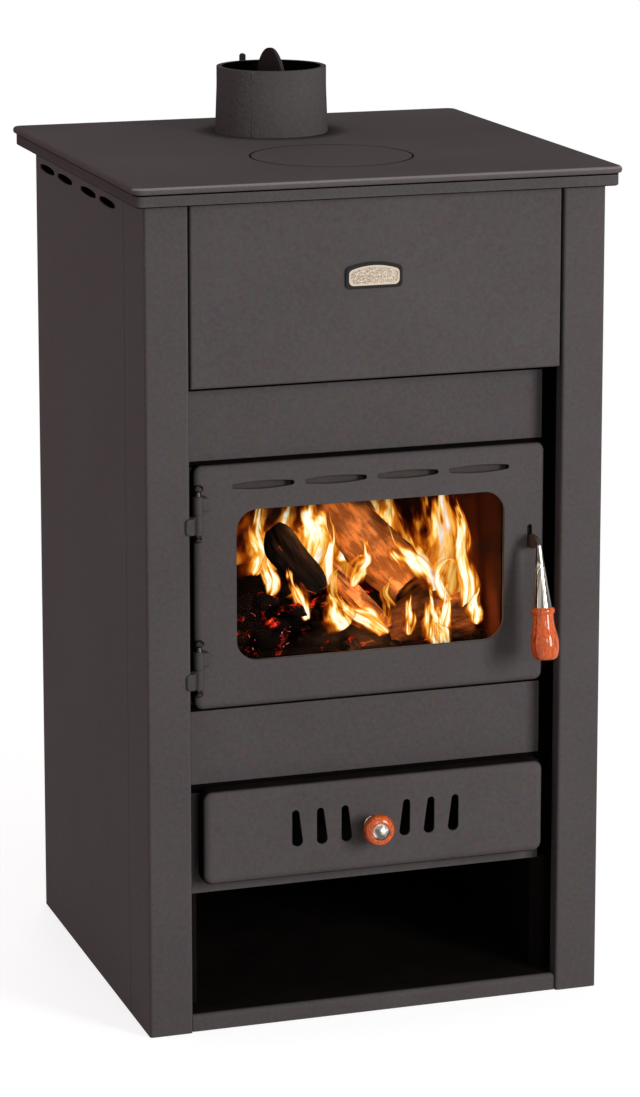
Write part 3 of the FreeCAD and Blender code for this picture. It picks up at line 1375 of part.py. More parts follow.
def air_shutter():
    """The plate behind the drawer front, which slides across the slots."""
    x, y, z = shutter_limits()
    plate = block(x, y, z)
    for slot in drawer_slots(SHUTTER_RELIEF, y[0] - 1, SHUTTER_SHEET + 2, 0):
        plate = plate.cut(slot)
    at = V(KNOB_X, y[0] - 1, KNOB_Z)
    return plate.cut(rod(KNOB_BOLT_RADIUS + TINY, at, at + V(0, SHUTTER_SHEET + 2, 0)))


def shutter_guides():
    """Two folded strips on the back of the drawer front, above and below the shutter."""
    x, y, z = shutter_limits()
    back = y[1] + SHUTTER_GAP
    length = (x[0] - SHUTTER_GAP, x[1] + SHUTTER_TRAVEL + SHUTTER_GAP)
    guides = []
    for edge, away in ((z[0], -1), (z[1], 1)):
        near = edge + away * SHUTTER_GAP
        far = near + away * GUIDE_SHEET
        web = block(length, (DRAWER_SHEET_BACK, back + GUIDE_SHEET), span(near, far))
        lip = block(length, (back, back + GUIDE_SHEET), span(far, edge - away * GUIDE_LIP))
        guides.append(joined(web, lip))
    return Part.makeCompound(guides)


def knob_levels():
    """The planes of the knob: ferrule back, wood back, wood face."""
    ferrule = DRAWER_Y - SHUTTER_GAP
    wood = ferrule - KNOB_FERRULE
    return ferrule, wood, wood - KNOB_LENGTH


def knob_hole(y_low, y_high):
    """The hole for the knob's bolt."""
    return rod(KNOB_BOLT_RADIUS + TINY, V(KNOB_X, y_low, KNOB_Z), V(KNOB_X, y_high, KNOB_Z))


def knob_ferrule():
    """The polished ring behind the wood: a flared foot and a neck."""
    back, wood, _ = knob_levels()
    profile = [
        (0, KNOB_FERRULE_RADIUS),
        (KNOB_FERRULE * 0.2, KNOB_FERRULE_RADIUS),
        (KNOB_FERRULE * 0.5, KNOB_FERRULE_NECK),
        (KNOB_FERRULE * 0.8, KNOB_FERRULE_NECK),
        (KNOB_FERRULE, KNOB_FERRULE_RADIUS),
    ]
    ferrule = turned(profile, V(KNOB_X, back, KNOB_Z), V(0, -1, 0))
    return ferrule.cut(knob_hole(wood - 1, back + 1))


def air_knob():
    """The turned wooden knob."""
    _, back, face = knob_levels()
    rise = KNOB_LENGTH
    start = V(KNOB_FERRULE_RADIUS, 0, 0)
    brow = V(KNOB_RADIUS, 0, rise * 0.55)
    front = V(KNOB_FACE_RADIUS, 0, rise)
    middle = V(KNOB_RADIUS * 0.9, 0, rise * 0.25)
    brow_round = V((KNOB_RADIUS + KNOB_FACE_RADIUS) / 2 + 1.4, 0, rise * 0.86)
    edges = [
        arc(start, middle, brow),
        arc(brow, brow_round, front),
        line(front, V(0, 0, rise)),
        line(V(0, 0, rise), V(0, 0, 0)),
        line(V(0, 0, 0), start),
    ]
    knob = Part.Face(Part.Wire(edges)).revolve(V(0, 0, 0), V(0, 0, 1), 360)
    knob.Placement = FreeCAD.Placement(V(KNOB_X, back, KNOB_Z), FreeCAD.Rotation(V(0, 0, 1), V(0, -1, 0)))
    return knob.cut(knob_hole(face - 1, back + 1))


def knob_bolt():
    """The bolt that ties knob, ferrule and shutter, with a polished domed head."""
    _, _, face = knob_levels()
    _, shutter_y, _ = shutter_limits()
    at = V(KNOB_X, face, KNOB_Z)
    drop = (KNOB_CAP_RADIUS ** 2 - KNOB_CAP ** 2) / (2 * KNOB_CAP)
    ball = Part.makeSphere(KNOB_CAP + drop, at + V(0, drop, 0))
    room = block((KNOB_X - 2 * KNOB_CAP_RADIUS, KNOB_X + 2 * KNOB_CAP_RADIUS), (face - 2 * KNOB_CAP, face),
                 (KNOB_Z - 2 * KNOB_CAP_RADIUS, KNOB_Z + 2 * KNOB_CAP_RADIUS))
    dome = ball.common(room)
    shank = rod(KNOB_BOLT_RADIUS, at, V(KNOB_X, shutter_y[1] + KNOB_BOLT_TAIL, KNOB_Z))
    return joined(dome, shank)


def all_parts():
    """Every node's name and shape."""
    flow, back_return, sensor = socket_places()
    parts = {}
    for name, left in (
        ("front_post", front_post()),
        ("side_panel", side_panel()),
        ("wood_bay_wall", wood_bay_wall()),
        ("jacket_outer_side", jacket_outer_side()),
        ("jacket_inner_side", jacket_inner_side()),
    ):
        parts["left_" + name] = left
        parts["right_" + name] = mirrored(left)
    for make in (
        base_tray, back_panel, back_screws, upper_front_panel, badge_bezel, badge_plate,
        boiler_floor_plate, boiler_front_plate, jacket_outer_back, jacket_inner_back, jacket_top_cover,
        water_bridge, hearth_plate, fire_grate, hob_frame, hob_plate, hob_lid, flue_collar, collar_bolts,
        damper_disc, damper_spindle, damper_lever, door_panel, door_glass, glass_gasket, glass_clips,
        clip_screws, rope_channel, door_rope_seal, air_wash_plate, post_knuckles, door_knuckles, hinge_pins,
        latch_lever, latch_bracket, latch_pin, latch_keeper, handle_cone, handle_grip, drawer_front,
        ash_tray, drawer_runners, air_shutter, shutter_guides, knob_ferrule, air_knob, knob_bolt,
    ):
        parts[make.__name__] = make()
    parts["flow_socket"] = water_socket(flow)
    parts["return_socket"] = water_socket(back_return)
    parts["sensor_socket"] = water_socket(sensor)
    return parts


os.makedirs("parts", exist_ok=True)
for part_name, part_shape in all_parts().items():
    part_shape.exportStep("parts/" + part_name + ".step")
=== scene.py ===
"""Finishes a wood-burning boiler stove, lays a wood fire behind its glass and sets a pale studio round it."""

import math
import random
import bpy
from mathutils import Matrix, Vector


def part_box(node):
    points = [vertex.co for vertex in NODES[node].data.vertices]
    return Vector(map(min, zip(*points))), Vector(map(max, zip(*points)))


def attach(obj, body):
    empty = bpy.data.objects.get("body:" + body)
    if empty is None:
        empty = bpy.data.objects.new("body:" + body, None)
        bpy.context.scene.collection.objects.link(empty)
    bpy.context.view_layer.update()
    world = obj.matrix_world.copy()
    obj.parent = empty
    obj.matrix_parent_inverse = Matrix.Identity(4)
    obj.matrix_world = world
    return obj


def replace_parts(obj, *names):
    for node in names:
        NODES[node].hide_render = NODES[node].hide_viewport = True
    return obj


bl_info = {
    "name": "Boiler Stove Finishes",
    "version": (1, 0, 0),
    "blender": (4, 5, 0),
    "location": "View3D > Sidebar > Stove",
    "description": "Finishes the stove's pieces, lays its fire and sets the studio",
    "category": "Object",
}

from functools import partial

import bmesh
import bpy
from bpy.props import FloatProperty, FloatVectorProperty, IntProperty, PointerProperty
from mathutils import Euler, Vector, noise

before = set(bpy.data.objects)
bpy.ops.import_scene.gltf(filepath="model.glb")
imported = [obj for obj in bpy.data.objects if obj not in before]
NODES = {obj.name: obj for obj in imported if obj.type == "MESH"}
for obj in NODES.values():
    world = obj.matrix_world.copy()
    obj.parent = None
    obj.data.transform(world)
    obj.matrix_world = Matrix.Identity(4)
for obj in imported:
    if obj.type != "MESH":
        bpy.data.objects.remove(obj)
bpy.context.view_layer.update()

# The bodies of the frame that new pieces ride on
CASING_BODY = "stove"
DOOR_BODY = "door"

MM = 0.001
GLASS_LAP = 9 * MM
ROPE_CORNER = 8 * MM
GASKET_CORNER = 6 * MM
WINDOW_CORNER = 22 * MM
WALL_GAP = 2 * MM
COLLAR_LAND = 20 * MM
COLLAR_TOP_RADIUS = 58.4 * MM
ROPE_WIDTH = 7.4 * MM
ROPE_LAY = 11 * MM

WHITE = (1.0, 1.0, 1.0, 1.0)
# How many radii a stretched and split coal reaches from its middle
COAL_REACH = 1.7
# How many grains of the sand a lump of the casting is wide
GRAINS_PER_LUMP = 3.75
# The wave texture's own count of radians in one unit of its scale
WAVE_UNIT = 20

# The front camera's line of sight through the window: metres right and down for each metre behind the glass
SIGHT_RIGHT = 0.344
SIGHT_DOWN = 0.268


def linear(code):
    """A linear colour from an sRGB hex value."""
    levels = [int(code[start:start + 2], 16) / 255 for start in (1, 3, 5)]
    channels = [v / 12.92 if v <= 0.04045 else ((v + 0.055) / 1.055) ** 2.4 for v in levels]
    return (*channels, 1.0)


def per_metre(millimetres):
    """The scale of a pattern whose features are that far apart."""
    return 1000 / millimetres


def scaled(colour, share):
    """A colour made darker or lighter by a share."""
    return (colour[0] * share, colour[1] * share, colour[2] * share, 1.0)


# Settings that a user would change

def colour_setting(name, description, code):
    """A colour property with an sRGB hex default."""
    return FloatVectorProperty(name=name, description=description, subtype="COLOR", size=4,
                               min=0, max=1, default=linear(code))


def power_setting(name, description, watts, most=1000):
    """A lamp's power property."""
    return FloatProperty(name=name, description=description, default=watts, min=0, max=most, unit="POWER")


class StoveFinishSettings(bpy.types.PropertyGroup):
    """Colours and surface sizes of the stove's own materials."""
    paint: colour_setting("Casing paint", "Anthracite powder coat of the casing, door and drawer", "#514C4C")
    iron: colour_setting("Cast iron", "Blackened iron of the hob and the lid", "#585152")
    grey_iron: colour_setting("Grey iron", "Greyer iron of the collar and the hob's frame", "#545050")
    plate: colour_setting("Boiler plate", "Matt heat-proof coat inside the stove", "#242120")
    wood: colour_setting("Varnished wood", "Orange-red varnish of the grip and the knob", "#E2722A")
    chrome: colour_setting("Chrome", "Plating of the cone, the ferrule and the knob's cap", "#BDB5AC")
    rope: colour_setting("Rope seal", "Glass fibre of the door's rope and gasket", "#6E6861")
    peel: FloatProperty(name="Orange peel", description="Spacing of the powder coat's dimples in millimetres",
                        default=3.0, min=0.5, max=20)
    grit: FloatProperty(name="Sand grit", description="Spacing of the casting's grains in millimetres",
                        default=2.4, min=0.5, max=20)


class StoveFireSettings(bpy.types.PropertyGroup):
    """Sizes and strengths of the wood fire."""
    embers: IntProperty(name="Embers", description="Number of coals in the ember bed",
                        default=260, min=0, max=800)
    bed_height: FloatProperty(name="Bed height", description="Height of the ash and ember bed over the grate",
                              default=0.046, min=0, max=0.2, unit="LENGTH")
    flame_strength: FloatProperty(name="Flame strength", description="Brightness of the flames",
                                  default=1.15, min=0, max=10)
    ember_strength: FloatProperty(name="Ember strength", description="Brightness of glowing coal and cracks",
                                  default=1.6, min=0, max=20)
    glow_power: power_setting("Fire glow", "Power of each warm lamp inside the firebox", 0.27, 50)


class StoveStudioSettings(bpy.types.PropertyGroup):
    """Lamps, floor and camera of the studio."""
    key_power: power_setting("Key lamp", "Power of the tall softbox at the right", 88)
    front_power: power_setting("Front lamp", "Power of the small softbox in front", 15)
    top_power: power_setting("Top lamp", "Power of the wide softbox overhead", 21)
    fill_power: power_setting("Fill lamp", "Power of the softbox at the left", 27.5)
    back_power: power_setting("Back lamp", "Power of the softbox behind the stove", 45)
    sky: FloatProperty(name="Room light", description="Strength of the even light of the room",
                       default=0.18, min=0, max=5)
    floor_radius: FloatProperty(name="Floor", description="Radius of the floor",
                                default=9.0, min=1, unit="LENGTH")
    lens: FloatProperty(name="Lens", description="Focal length of the camera in millimetres",
                        default=123.67, min=10, max=500)
    azimuth: FloatProperty(name="Azimuth", description="How far right of straight ahead the camera looks",
                           default=math.radians(18.169), subtype="ANGLE")
    tilt: FloatProperty(name="Tilt", description="How far the camera looks down",
                        default=math.radians(10.476), subtype="ANGLE")
    rise: FloatProperty(name="Rise", description="Vertical shift of the lens as a share of the frame",
                        default=-0.2, min=-1, max=1)
    camera_at: FloatVectorProperty(name="Camera place", description="Where the camera stands", size=3,
                                   subtype="TRANSLATION", unit="LENGTH", default=(-1.1962, -3.6730, 1.3852))


# Shader nodes and materials

def add(tree, kind, *values, output=None, stops=(), **named):
    """Adds a node and returns one of its outputs, the first open one unless another is named.

    Values fill the open sockets in order. A name with a capital fills that socket, and any other name is a
    setting of the node."""
    made = tree.nodes.new("ShaderNode" + kind)
    for key, value in named.items():
        if key[0].islower():
            setattr(made, key, value)
    filled = list(zip([socket for socket in made.inputs if socket.enabled], values))
    filled += [(made.inputs[key.replace("_", " ")], value)
               for key, value in named.items() if key[0].isupper()]
    for socket, value in filled:
        if isinstance(value, bpy.types.NodeSocket):
            tree.links.new(value, socket)
        else:
            socket.default_value = value
    if stops:
        elements = made.color_ramp.elements
        elements[0].position, elements[0].color = stops[0]
        elements[1].position, elements[1].color = stops[-1]
        for position, colour in stops[1:-1]:
            elements.new(position).color = colour
    if output:
        return made.outputs[output]
    return next((socket for socket in made.outputs if socket.enabled), None)


def reopen(made):
    """A function that adds nodes to a material, and the stove's own coordinates."""
    node = partial(add, made.node_tree)
    return node, node("TexCoord", output="Object")


def begin(name):
    """A new material without nodes, with the function that adds them and the stove's own coordinates."""
    made = bpy.data.materials.new(name)
    made.use_nodes = True
    made.node_tree.nodes.clear()
    return made, *reopen(made)


def surfaced(made, **sockets):
    """Ends a material with a Principled shader that has these links and constants on its sockets."""
    tree = made.node_tree
    add(tree, "OutputMaterial", add(tree, "BsdfPrincipled", **sockets))
    return made


def shader_of(made):
    """The Principled shader of a material."""
    return next(node for node in made.node_tree.nodes if node.type == "BSDF_PRINCIPLED")


def stain(made, share, colour):
    """Lays a colour over a material's own by a share."""
    tree = made.node_tree
    socket = shader_of(made).inputs["Base Color"]
    tree.links.new(add(tree, "Mix", share, socket.links[0].from_socket, colour, data_type="RGBA"), socket)


def shades(colour, *stops):
    """Stops of a ramp from pairs of a position and a share of one colour."""
    return [(position, scaled(colour, share)) for position, share in stops]


def hues(*stops):
    """Stops of a ramp from pairs of a position and an sRGB hex value."""
    return [(position, linear(code)) for position, code in stops]


def upright_axis(name):
    """The axis of an upright round piece in plan, and its radius."""
    low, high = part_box(name)
    middle = (low + high) / 2
    return Vector((middle.x, middle.y, 0)), (high.x - low.x) / 2


def outward_from(node, place, middle, across):
    """The direction from an axis to a point, across that axis."""
    offset = node("VectorMath", place, middle, operation="SUBTRACT")
    flat = node("VectorMath", offset, across, operation="MULTIPLY")
    return node("VectorMath", flat, operation="NORMALIZE")


def powder_coated_steel(name, colour, peel, shine=0.004):
    """Powder coat, sprayed and baked on sheet."""
    # It gives the eye a matt skin with a fine orange peel and a faintly cloudy tone.
    # Real specks are finer than a pixel and are drawn coarser, 4 mm apart.
    made, node, place = begin(name)
    clouds = node("TexNoise", place, Scale=per_metre(110), Detail=4.0, Roughness=0.6)
    specks = node("TexNoise", place, Scale=per_metre(4), Detail=2.0, output="Color")
    dimples = node("TexNoise", place, Scale=per_metre(peel), Detail=2.0, Roughness=0.5)
    tone = node("Mix", clouds, scaled(colour, 0.86), scaled(colour, 1.13), data_type="RGBA")
    return surfaced(made, Specular_IOR_Level=shine, Roughness=node("MapRange", clouds, 0.3, 0.7, 0.44, 0.56),
                    Base_Color=node("Mix", 0.3, tone, specks, data_type="RGBA", blend_type="SOFT_LIGHT"),
                    Normal=node("Bump", Height=dimples, Strength=0.25, Distance=0.12 * MM))


def painted_shade_coat(name, colour, peel, front, depth):
    """The casing's coat, with painted shade in black behind a front edge."""
    # It gives the eye a grey front that falls away into a painted shade of mottled black.
    made = powder_coated_steel(name, colour, peel)
    node, place = reopen(made)
    inward = node("SeparateXYZ", place, output="Y")
    behind = node("MapRange", inward, front, front + depth, interpolation_type="SMOOTHSTEP")
    shade_mottle = node("TexNoise", place, Scale=per_metre(30), Detail=5.0)
    stain(made, behind, node("Mix", shade_mottle, linear("#0B0908"), linear("#1C1816"), data_type="RGBA"))
    return made


def sand_cast_iron(name, colour, grit, depth, shine_of_edges):
    """Iron cast in sand and blackened."""
    # It gives the eye a matt, pimpled skin, with a painted sheen: shine only on the rounded edges that face
    # the front, where the lamps' highlight should show.
    # Real grains are about half a millimetre wide and are drawn coarser, so that they show.
    made, node, place = begin(name)
    # The painted sheen: shine kept to rounded edges that face the front
    facing = node("SeparateXYZ", node("NewGeometry", output="Normal")).node.outputs
    rounded = shades(WHITE, (0.2, 0.0), (0.45, shine_of_edges), (0.8, shine_of_edges), (0.97, 0.0))
    forward = node("MapRange", facing["Y"], -0.12, -0.4)
    edge_sheen = node("Math", node("ValToRGB", facing["Z"], stops=rounded), forward, operation="MULTIPLY")
    lumps = node("TexNoise", place, Scale=per_metre(GRAINS_PER_LUMP * grit), Detail=3.0)
    grains = node("TexNoise", place, Scale=per_metre(grit), Detail=4.0, Roughness=0.62)
    clouds = node("TexNoise", place, Scale=per_metre(140), Detail=3.0)
    tone = node("Mix", clouds, scaled(colour, 0.84), scaled(colour, 1.16), data_type="RGBA")
    pits = node("MapRange", grains, 0.3, 0.7, 0.86, 1.1)
    height = node("Math", lumps, grains, operation="ADD")
    surfaced(made, Specular_IOR_Level=0.03, Roughness=node("MapRange", grains, To_Min=0.34, To_Max=0.5),
             Base_Color=node("Mix", 1.0, tone, pits, data_type="RGBA", blend_type="MULTIPLY"),
             Normal=node("Bump", Height=height, Strength=0.5, Distance=depth))
    # The level under this link is what a viewer shows that can't read it
    made.node_tree.links.new(edge_sheen, shader_of(made).inputs["Specular IOR Level"])
    return made


def soot_and_shadow_rings(made):
    """Darkens the hob's material where soot gathers at the joint round its lid, and round the collar's foot
    with soot and a painted contact shadow.
    """
    node, place = reopen(made)
    flat = node("VectorMath", place, (1.0, 1.0, 0.0), operation="MULTIPLY")
    axis, radius = upright_axis("hob_lid")
    past = node("Math", node("VectorMath", flat, axis, operation="DISTANCE"), radius, operation="SUBTRACT")
    off = node("Math", past, operation="ABSOLUTE")
    ring = node("MapRange", off, 0.5 * MM, 1.9 * MM, 0.85, 0.0, interpolation_type="SMOOTHSTEP")
    stain(made, ring, linear("#0C0A0A"))
    # Round the collar's foot: partly soot, partly painted contact shadow
    axis, radius = upright_axis("flue_collar")
    reach = node("VectorMath", flat, axis, operation="DISTANCE")
    halo = node("MapRange", reach, radius, radius + 30 * MM, 0.62, 0.0, interpolation_type="SMOOTHSTEP")
    stain(made, halo, linear("#171313"))


def painted_shade_lines(made, *heights):
    """Darkens a piece between pairs of heights: painted shade in dark lines at its joints."""
    node, place = reopen(made)
    up = node("SeparateXYZ", place, output="Z")
    shade_share = 0.0
    for low, high in heights:
        band = node("Math", up, (low + high) / 2, (high - low) / 2, operation="COMPARE")
        shade_share = node("Math", shade_share, band, operation="MAXIMUM")
    stain(made, shade_share, linear("#0C0A0A"))


def soot_inside(made, axis):
    """Blackens the faces of a round piece that look at its upright axis."""
    node, place = reopen(made)
    outward = outward_from(node, place, axis, (1.0, 1.0, 0.0))
    facing = node("VectorMath", outward, node("NewGeometry", output="Normal"), operation="DOT_PRODUCT")
    stain(made, node("MapRange", facing, -0.4, -0.1, 1.0, 0.0), linear("#0A0808"))


def heatproof_boiler_plate(name, colour):
    """Hot-rolled boiler plate under a matt heat-proof coat."""
    # It gives the eye a dull black face with mill scale and paler, dusty patches.
    made, node, place = begin(name)
    scale = node("TexNoise", place, Scale=per_metre(26), Detail=6.0, Roughness=0.65)
    return surfaced(made, Specular_IOR_Level=0.03, Roughness=0.75,
                    Base_Color=node("Mix", scale, scaled(colour, 0.6), scaled(colour, 1.5), data_type="RGBA"),
                    Normal=node("Bump", Height=scale, Strength=0.3, Distance=0.3 * MM))


def drawn_steel(name, colour, spacing, stretch):
    """Bright steel, drawn or rolled, with the fine lines of the die."""
    # It gives the eye a grey metal whose lines run along the piece.
    made, node, place = begin(name)
    lines = node("TexNoise", node("Mapping", place, Scale=stretch), Scale=per_metre(spacing), Detail=3.0)
    return surfaced(made, Metallic=1.0, Roughness=node("MapRange", lines, To_Min=0.24, To_Max=0.46),
                    Base_Color=node("Mix", lines, scaled(colour, 0.75), scaled(colour, 1.1),
                                    data_type="RGBA"))


def polished_chrome(name, colour, middle, across, turns):
    """Turned steel, polished and chrome plated."""
    # It gives the eye a mirror with painted reflections: soft bright and dark streaks round its axis, drawn
    # into its colour.
    made, node, place = begin(name)
    lines = node("TexNoise", outward_from(node, place, middle, across), Scale=turns, Detail=1.5)
    # The painted reflections run from a sixth of the plating's colour to more than all of it
    streaks = shades(colour, (0.36, 0.16), (0.45, 0.5), (0.53, 1.2), (0.64, 0.4))
    return surfaced(made, Metallic=1.0, Base_Color=node("ValToRGB", lines, stops=streaks),
                    Roughness=node("MapRange", lines, 0.35, 0.75, 0.08, 0.2))


def varnished_turned_wood(name, colour, along):
    """Beech turned on the lathe, stained orange-red and varnished."""
    # It gives the eye warm streaks along the grain, dark pores and a hard clear gloss on top.
    made, node, place = begin(name)
    space = node("Mapping", place, Scale=along)
    grain = node("TexNoise", space, Scale=per_metre(3.2), Detail=5.0, Roughness=0.6, Distortion=0.6)
    pores = node("TexNoise", space, Scale=per_metre(0.9), Detail=2.0)
    streaks = shades(colour, (0.28, 0.22), (0.45, 0.72), (0.62, 1.0)) + hues((0.78, "#DB7A3C"))
    tone = node("ValToRGB", grain, stops=streaks)
    dots = node("MapRange", pores, 0.34, 0.46, 0.42, 1.0)
    return surfaced(made, Roughness=0.28, Specular_IOR_Level=0.12, Coat_Weight=0.7, Coat_Roughness=0.07,
                    Coat_Tint=linear("#FFC898"),
                    Base_Color=node("Mix", 1.0, tone, dots, data_type="RGBA", blend_type="MULTIPLY"),
                    Normal=node("Bump", Height=grain, Strength=0.15, Distance=0.1 * MM))


def cast_nickel(name, colour, front):
    """A nickel plate with a polished border round a sand-blasted field."""
    # It gives the eye a bright rim and a field of small pale and dark grains, drawn coarser than real ones.
    made, node, place = begin(name)
    grains = node("TexNoise", place, Scale=per_metre(1.6), Detail=4.0, Roughness=0.65)
    inward = node("SeparateXYZ", place, output="Y")
    field = node("MapRange", inward, front + 0.2 * MM, front + 0.4 * MM)
    blasted = node("ValToRGB", grains, stops=shades(colour, (0.34, 0.3), (0.5, 0.7), (0.66, 1.05)))
    return surfaced(made, Metallic=1.0, Roughness=node("MapRange", field, To_Min=0.12, To_Max=0.26),
                    Base_Color=node("Mix", field, scaled(colour, 1.5), blasted, data_type="RGBA"),
                    Normal=node("Bump", Height=grains, Strength=0.4, Distance=0.15 * MM))


def sooted_stove_glass(name, middle, half_width, half_height):
    """Clear ceramic glass with a film of soot along its edges."""
    # It gives the eye a clear middle, a faint shine and brown smoke marks in the corners.
    made, node, place = begin(name)
    offset = node("VectorMath", place, middle, operation="SUBTRACT")
    shares = node("VectorMath", offset, (half_width, 1.0, half_height), operation="DIVIDE")
    parts = node("SeparateXYZ", node("VectorMath", shares, operation="ABSOLUTE")).node.outputs
    edge = node("Math", parts["X"], parts["Z"], operation="MAXIMUM")
    smoke = node("TexNoise", place, Scale=per_metre(40), Detail=5.0)
    rim = node("Math", smoke, edge, operation="ADD")
    film = node("MapRange", rim, 1.3, 1.75, 0.0, 0.75, interpolation_type="SMOOTHSTEP")
    return surfaced(made, Base_Color=linear("#1A0E08"), Alpha=film, Roughness=0.04, Specular_IOR_Level=0.02)


def knitted_glass_fibre(name, colour):
    """Glass-fibre yarn knitted into rope and tape."""
    # It gives the eye a dull grey yarn with small bright fibres and scorched patches.
    # Real fibres are finer than a pixel and are drawn coarser.
    made, node, place = begin(name)
    fibres = node("TexNoise", place, Scale=per_metre(0.8), Detail=4.0)
    scorch = node("TexNoise", place, Scale=per_metre(60), Detail=3.0)
    yarn = node("Mix", fibres, scaled(colour, 0.6), scaled(colour, 1.35), data_type="RGBA")
    shade = node("MapRange", scorch, 0.35, 0.65, 0.35, 1.0)
    return surfaced(made, Roughness=0.9, Specular_IOR_Level=0.15, Sheen_Weight=0.3,
                    Base_Color=node("Mix", 1.0, yarn, shade, data_type="RGBA", blend_type="MULTIPLY"),
                    Normal=node("Bump", Height=fibres, Strength=0.6, Distance=0.3 * MM))


def burning_wood(name, dark, light, crack, glow, glow_share):
    """Firewood in the fire: scorched bark or split wood, mapped round and along the log."""
    # It gives the eye char and wood in streaks along the grain, with red-hot cracks in between.
    made, node, _ = begin(name)
    chart = node("TexCoord", output="UV")
    along = node("Mapping", chart, Scale=(1.0, 0.2, 1.0))
    warp = node("TexNoise", chart, Scale=per_metre(34), Detail=4.0)
    streaks = node("TexNoise", along, Scale=per_metre(6), Detail=6.0, Roughness=0.7)
    blend = node("MapRange", node("Math", warp, streaks, operation="ADD"), 0.6, 1.4)
    woods = [(0.25, dark)] + shades(light, (0.45, 0.45), (0.62, 1.0), (0.85, 1.3))
    push = warp.node.outputs["Color"]
    pushed = node("VectorMath", push, (0.02, 0.02, 0.0), along, operation="MULTIPLY_ADD")
    cells = node("TexVoronoi", pushed, Scale=per_metre(10), feature="DISTANCE_TO_EDGE")
    line = node("MapRange", cells, 0.0, 0.1, 1.0, 0.0)
    zone = node("MapRange", warp, 1.0 - glow_share, 1.12 - glow_share)
    heat = node("Math", line, zone, operation="MULTIPLY")
    return surfaced(made, Roughness=0.8, Specular_IOR_Level=0.05, Emission_Color=crack,
                    Base_Color=node("ValToRGB", blend, stops=woods),
                    Emission_Strength=node("Math", heat, glow, operation="MULTIPLY"),
                    Normal=node("Bump", Height=streaks, Strength=0.8, Distance=2.0 * MM))


def sawn_log_end(name, dark, light):
    """The sawn end of a log."""
    # It gives the eye year rings, scorched at the rim.
    made, node, _ = begin(name)
    rings = node("TexWave", node("TexCoord", output="UV"), Scale=per_metre(3.0) / WAVE_UNIT, Distortion=2.5,
                 Detail=3.0, Detail_Scale=1.5, wave_type="RINGS", rings_direction="SPHERICAL", output="Fac")
    return surfaced(made, Roughness=0.85, Specular_IOR_Level=0.05,
                    Base_Color=node("Mix", rings, dark, light, data_type="RGBA"),
                    Normal=node("Bump", Height=rings, Strength=0.4, Distance=0.6 * MM))


def glowing_charcoal(name, glow):
    """Coals of the ember bed: charcoal under a veil of ash."""
    # It gives the eye black and ashen lumps that glow deep red where they are hot.
    made, node, place = begin(name)
    ash = node("TexNoise", place, Scale=per_metre(9), Detail=5.0)
    heat = node("TexNoise", place, Scale=per_metre(24), Detail=4.0, Roughness=0.7)
    glows = hues((0.58, "#000000"), (0.63, "#5E0A04"), (0.68, "#C82A0C"), (0.76, "#FF8A2A"))
    return surfaced(made, Roughness=0.9, Specular_IOR_Level=0.02,
                    Base_Color=node("Mix", ash, linear("#050303"), linear("#160F0C"), data_type="RGBA"),
                    Emission_Color=node("ValToRGB", heat, stops=glows), Emission_Strength=glow,
                    Normal=node("Bump", Height=ash, Strength=0.8, Distance=1.5 * MM))


def flying_spark(name, glow):
    """A splinter of red-hot charcoal."""
    # It gives the eye a pink-white streak that cools to deep red in places.
    made, node, place = begin(name)
    heat = node("TexNoise", place, Scale=per_metre(4), Detail=2.0)
    glows = hues((0.35, "#5A0A10"), (0.5, "#E04A50"), (0.65, "#FFC0B8"))
    return surfaced(made, Roughness=0.9, Base_Color=linear("#160A08"), Emission_Strength=glow * 0.6,
                    Emission_Color=node("ValToRGB", heat, stops=glows))


def wood_flame(name, strength, heat_share, cover):
    """A tongue of burning wood gas, mapped across and along its own sheet."""
    # It gives the eye a white-yellow core, orange strands and torn, see-through edges.
    made, node, place = begin(name)
    made.cycles.emission_sampling = "NONE"
    chart = node("TexCoord", output="UV")
    parts = node("SeparateXYZ", chart).node.outputs
    drift = node("VectorMath", place, 11.0, operation="SCALE")
    flow = node("VectorMath", chart, (1.5, 1.0, 0.0), drift, operation="MULTIPLY_ADD")
    lean = node("Math", node("TexNoise", flow, Scale=2.0, Detail=2.0), 0.5, operation="SUBTRACT")
    loose = node("MapRange", parts["Y"], To_Min=0.35, To_Max=1.5)
    centred = node("Math", parts["X"], 0.5, operation="SUBTRACT")
    moved = node("Math", lean, loose, centred, operation="MULTIPLY_ADD")
    off = node("Math", moved, operation="ABSOLUTE")
    widths = shades(WHITE, (0.0, 0.16), (0.2, 0.40), (0.45, 0.42), (0.75, 0.26), (1.0, 0.05))
    share = node("Math", off, node("ValToRGB", parts["Y"], stops=widths), operation="DIVIDE")
    core = shades(WHITE, (0.0, 1.0), (0.28, 0.92), (0.5, 0.5), (0.72, 0.22), (1.0, 0.0))
    side = node("Math", centred, operation="ABSOLUTE")
    border = node("MapRange", side, 0.34, 0.49, 1.0, 0.0, interpolation_type="SMOOTHSTEP")
    rise = shades(WHITE, (0.0, 0.0), (0.07, 0.9), (0.5, 1.0), (0.8, 0.7), (1.0, 0.0))
    fine = node("VectorMath", chart, (4.0, 0.9, 0.0), drift, operation="MULTIPLY_ADD")
    strands = node("TexNoise", fine, Scale=1.6, Detail=3.0, Roughness=0.5, Distortion=0.8)
    streak = node("MapRange", strands, 0.3, 0.66, 0.35 * heat_share, 1.25 * heat_share)
    heat = node("ValToRGB", share, stops=core)
    for factor in (border, node("ValToRGB", parts["Y"], stops=rise), streak):
        heat = node("Math", heat, factor, operation="MULTIPLY")
    colours = hues((0.0, "#4A1002"), (0.18, "#A83E08"), (0.36, "#E07A18"), (0.55, "#FFB440"),
                   (0.74, "#FFE290"), (0.93, "#FFFCE8"))
    veil = shades(WHITE, (0.02, 0.0), (0.2, 0.34 * cover), (0.45, 0.8 * cover), (0.7, 0.97 * cover))
    opacity = node("ValToRGB", heat, stops=veil)
    light = node("Emission", node("ValToRGB", heat, stops=colours), strength)
    node("OutputMaterial", node("MixShader", opacity, node("BsdfTransparent"), light))
    return made


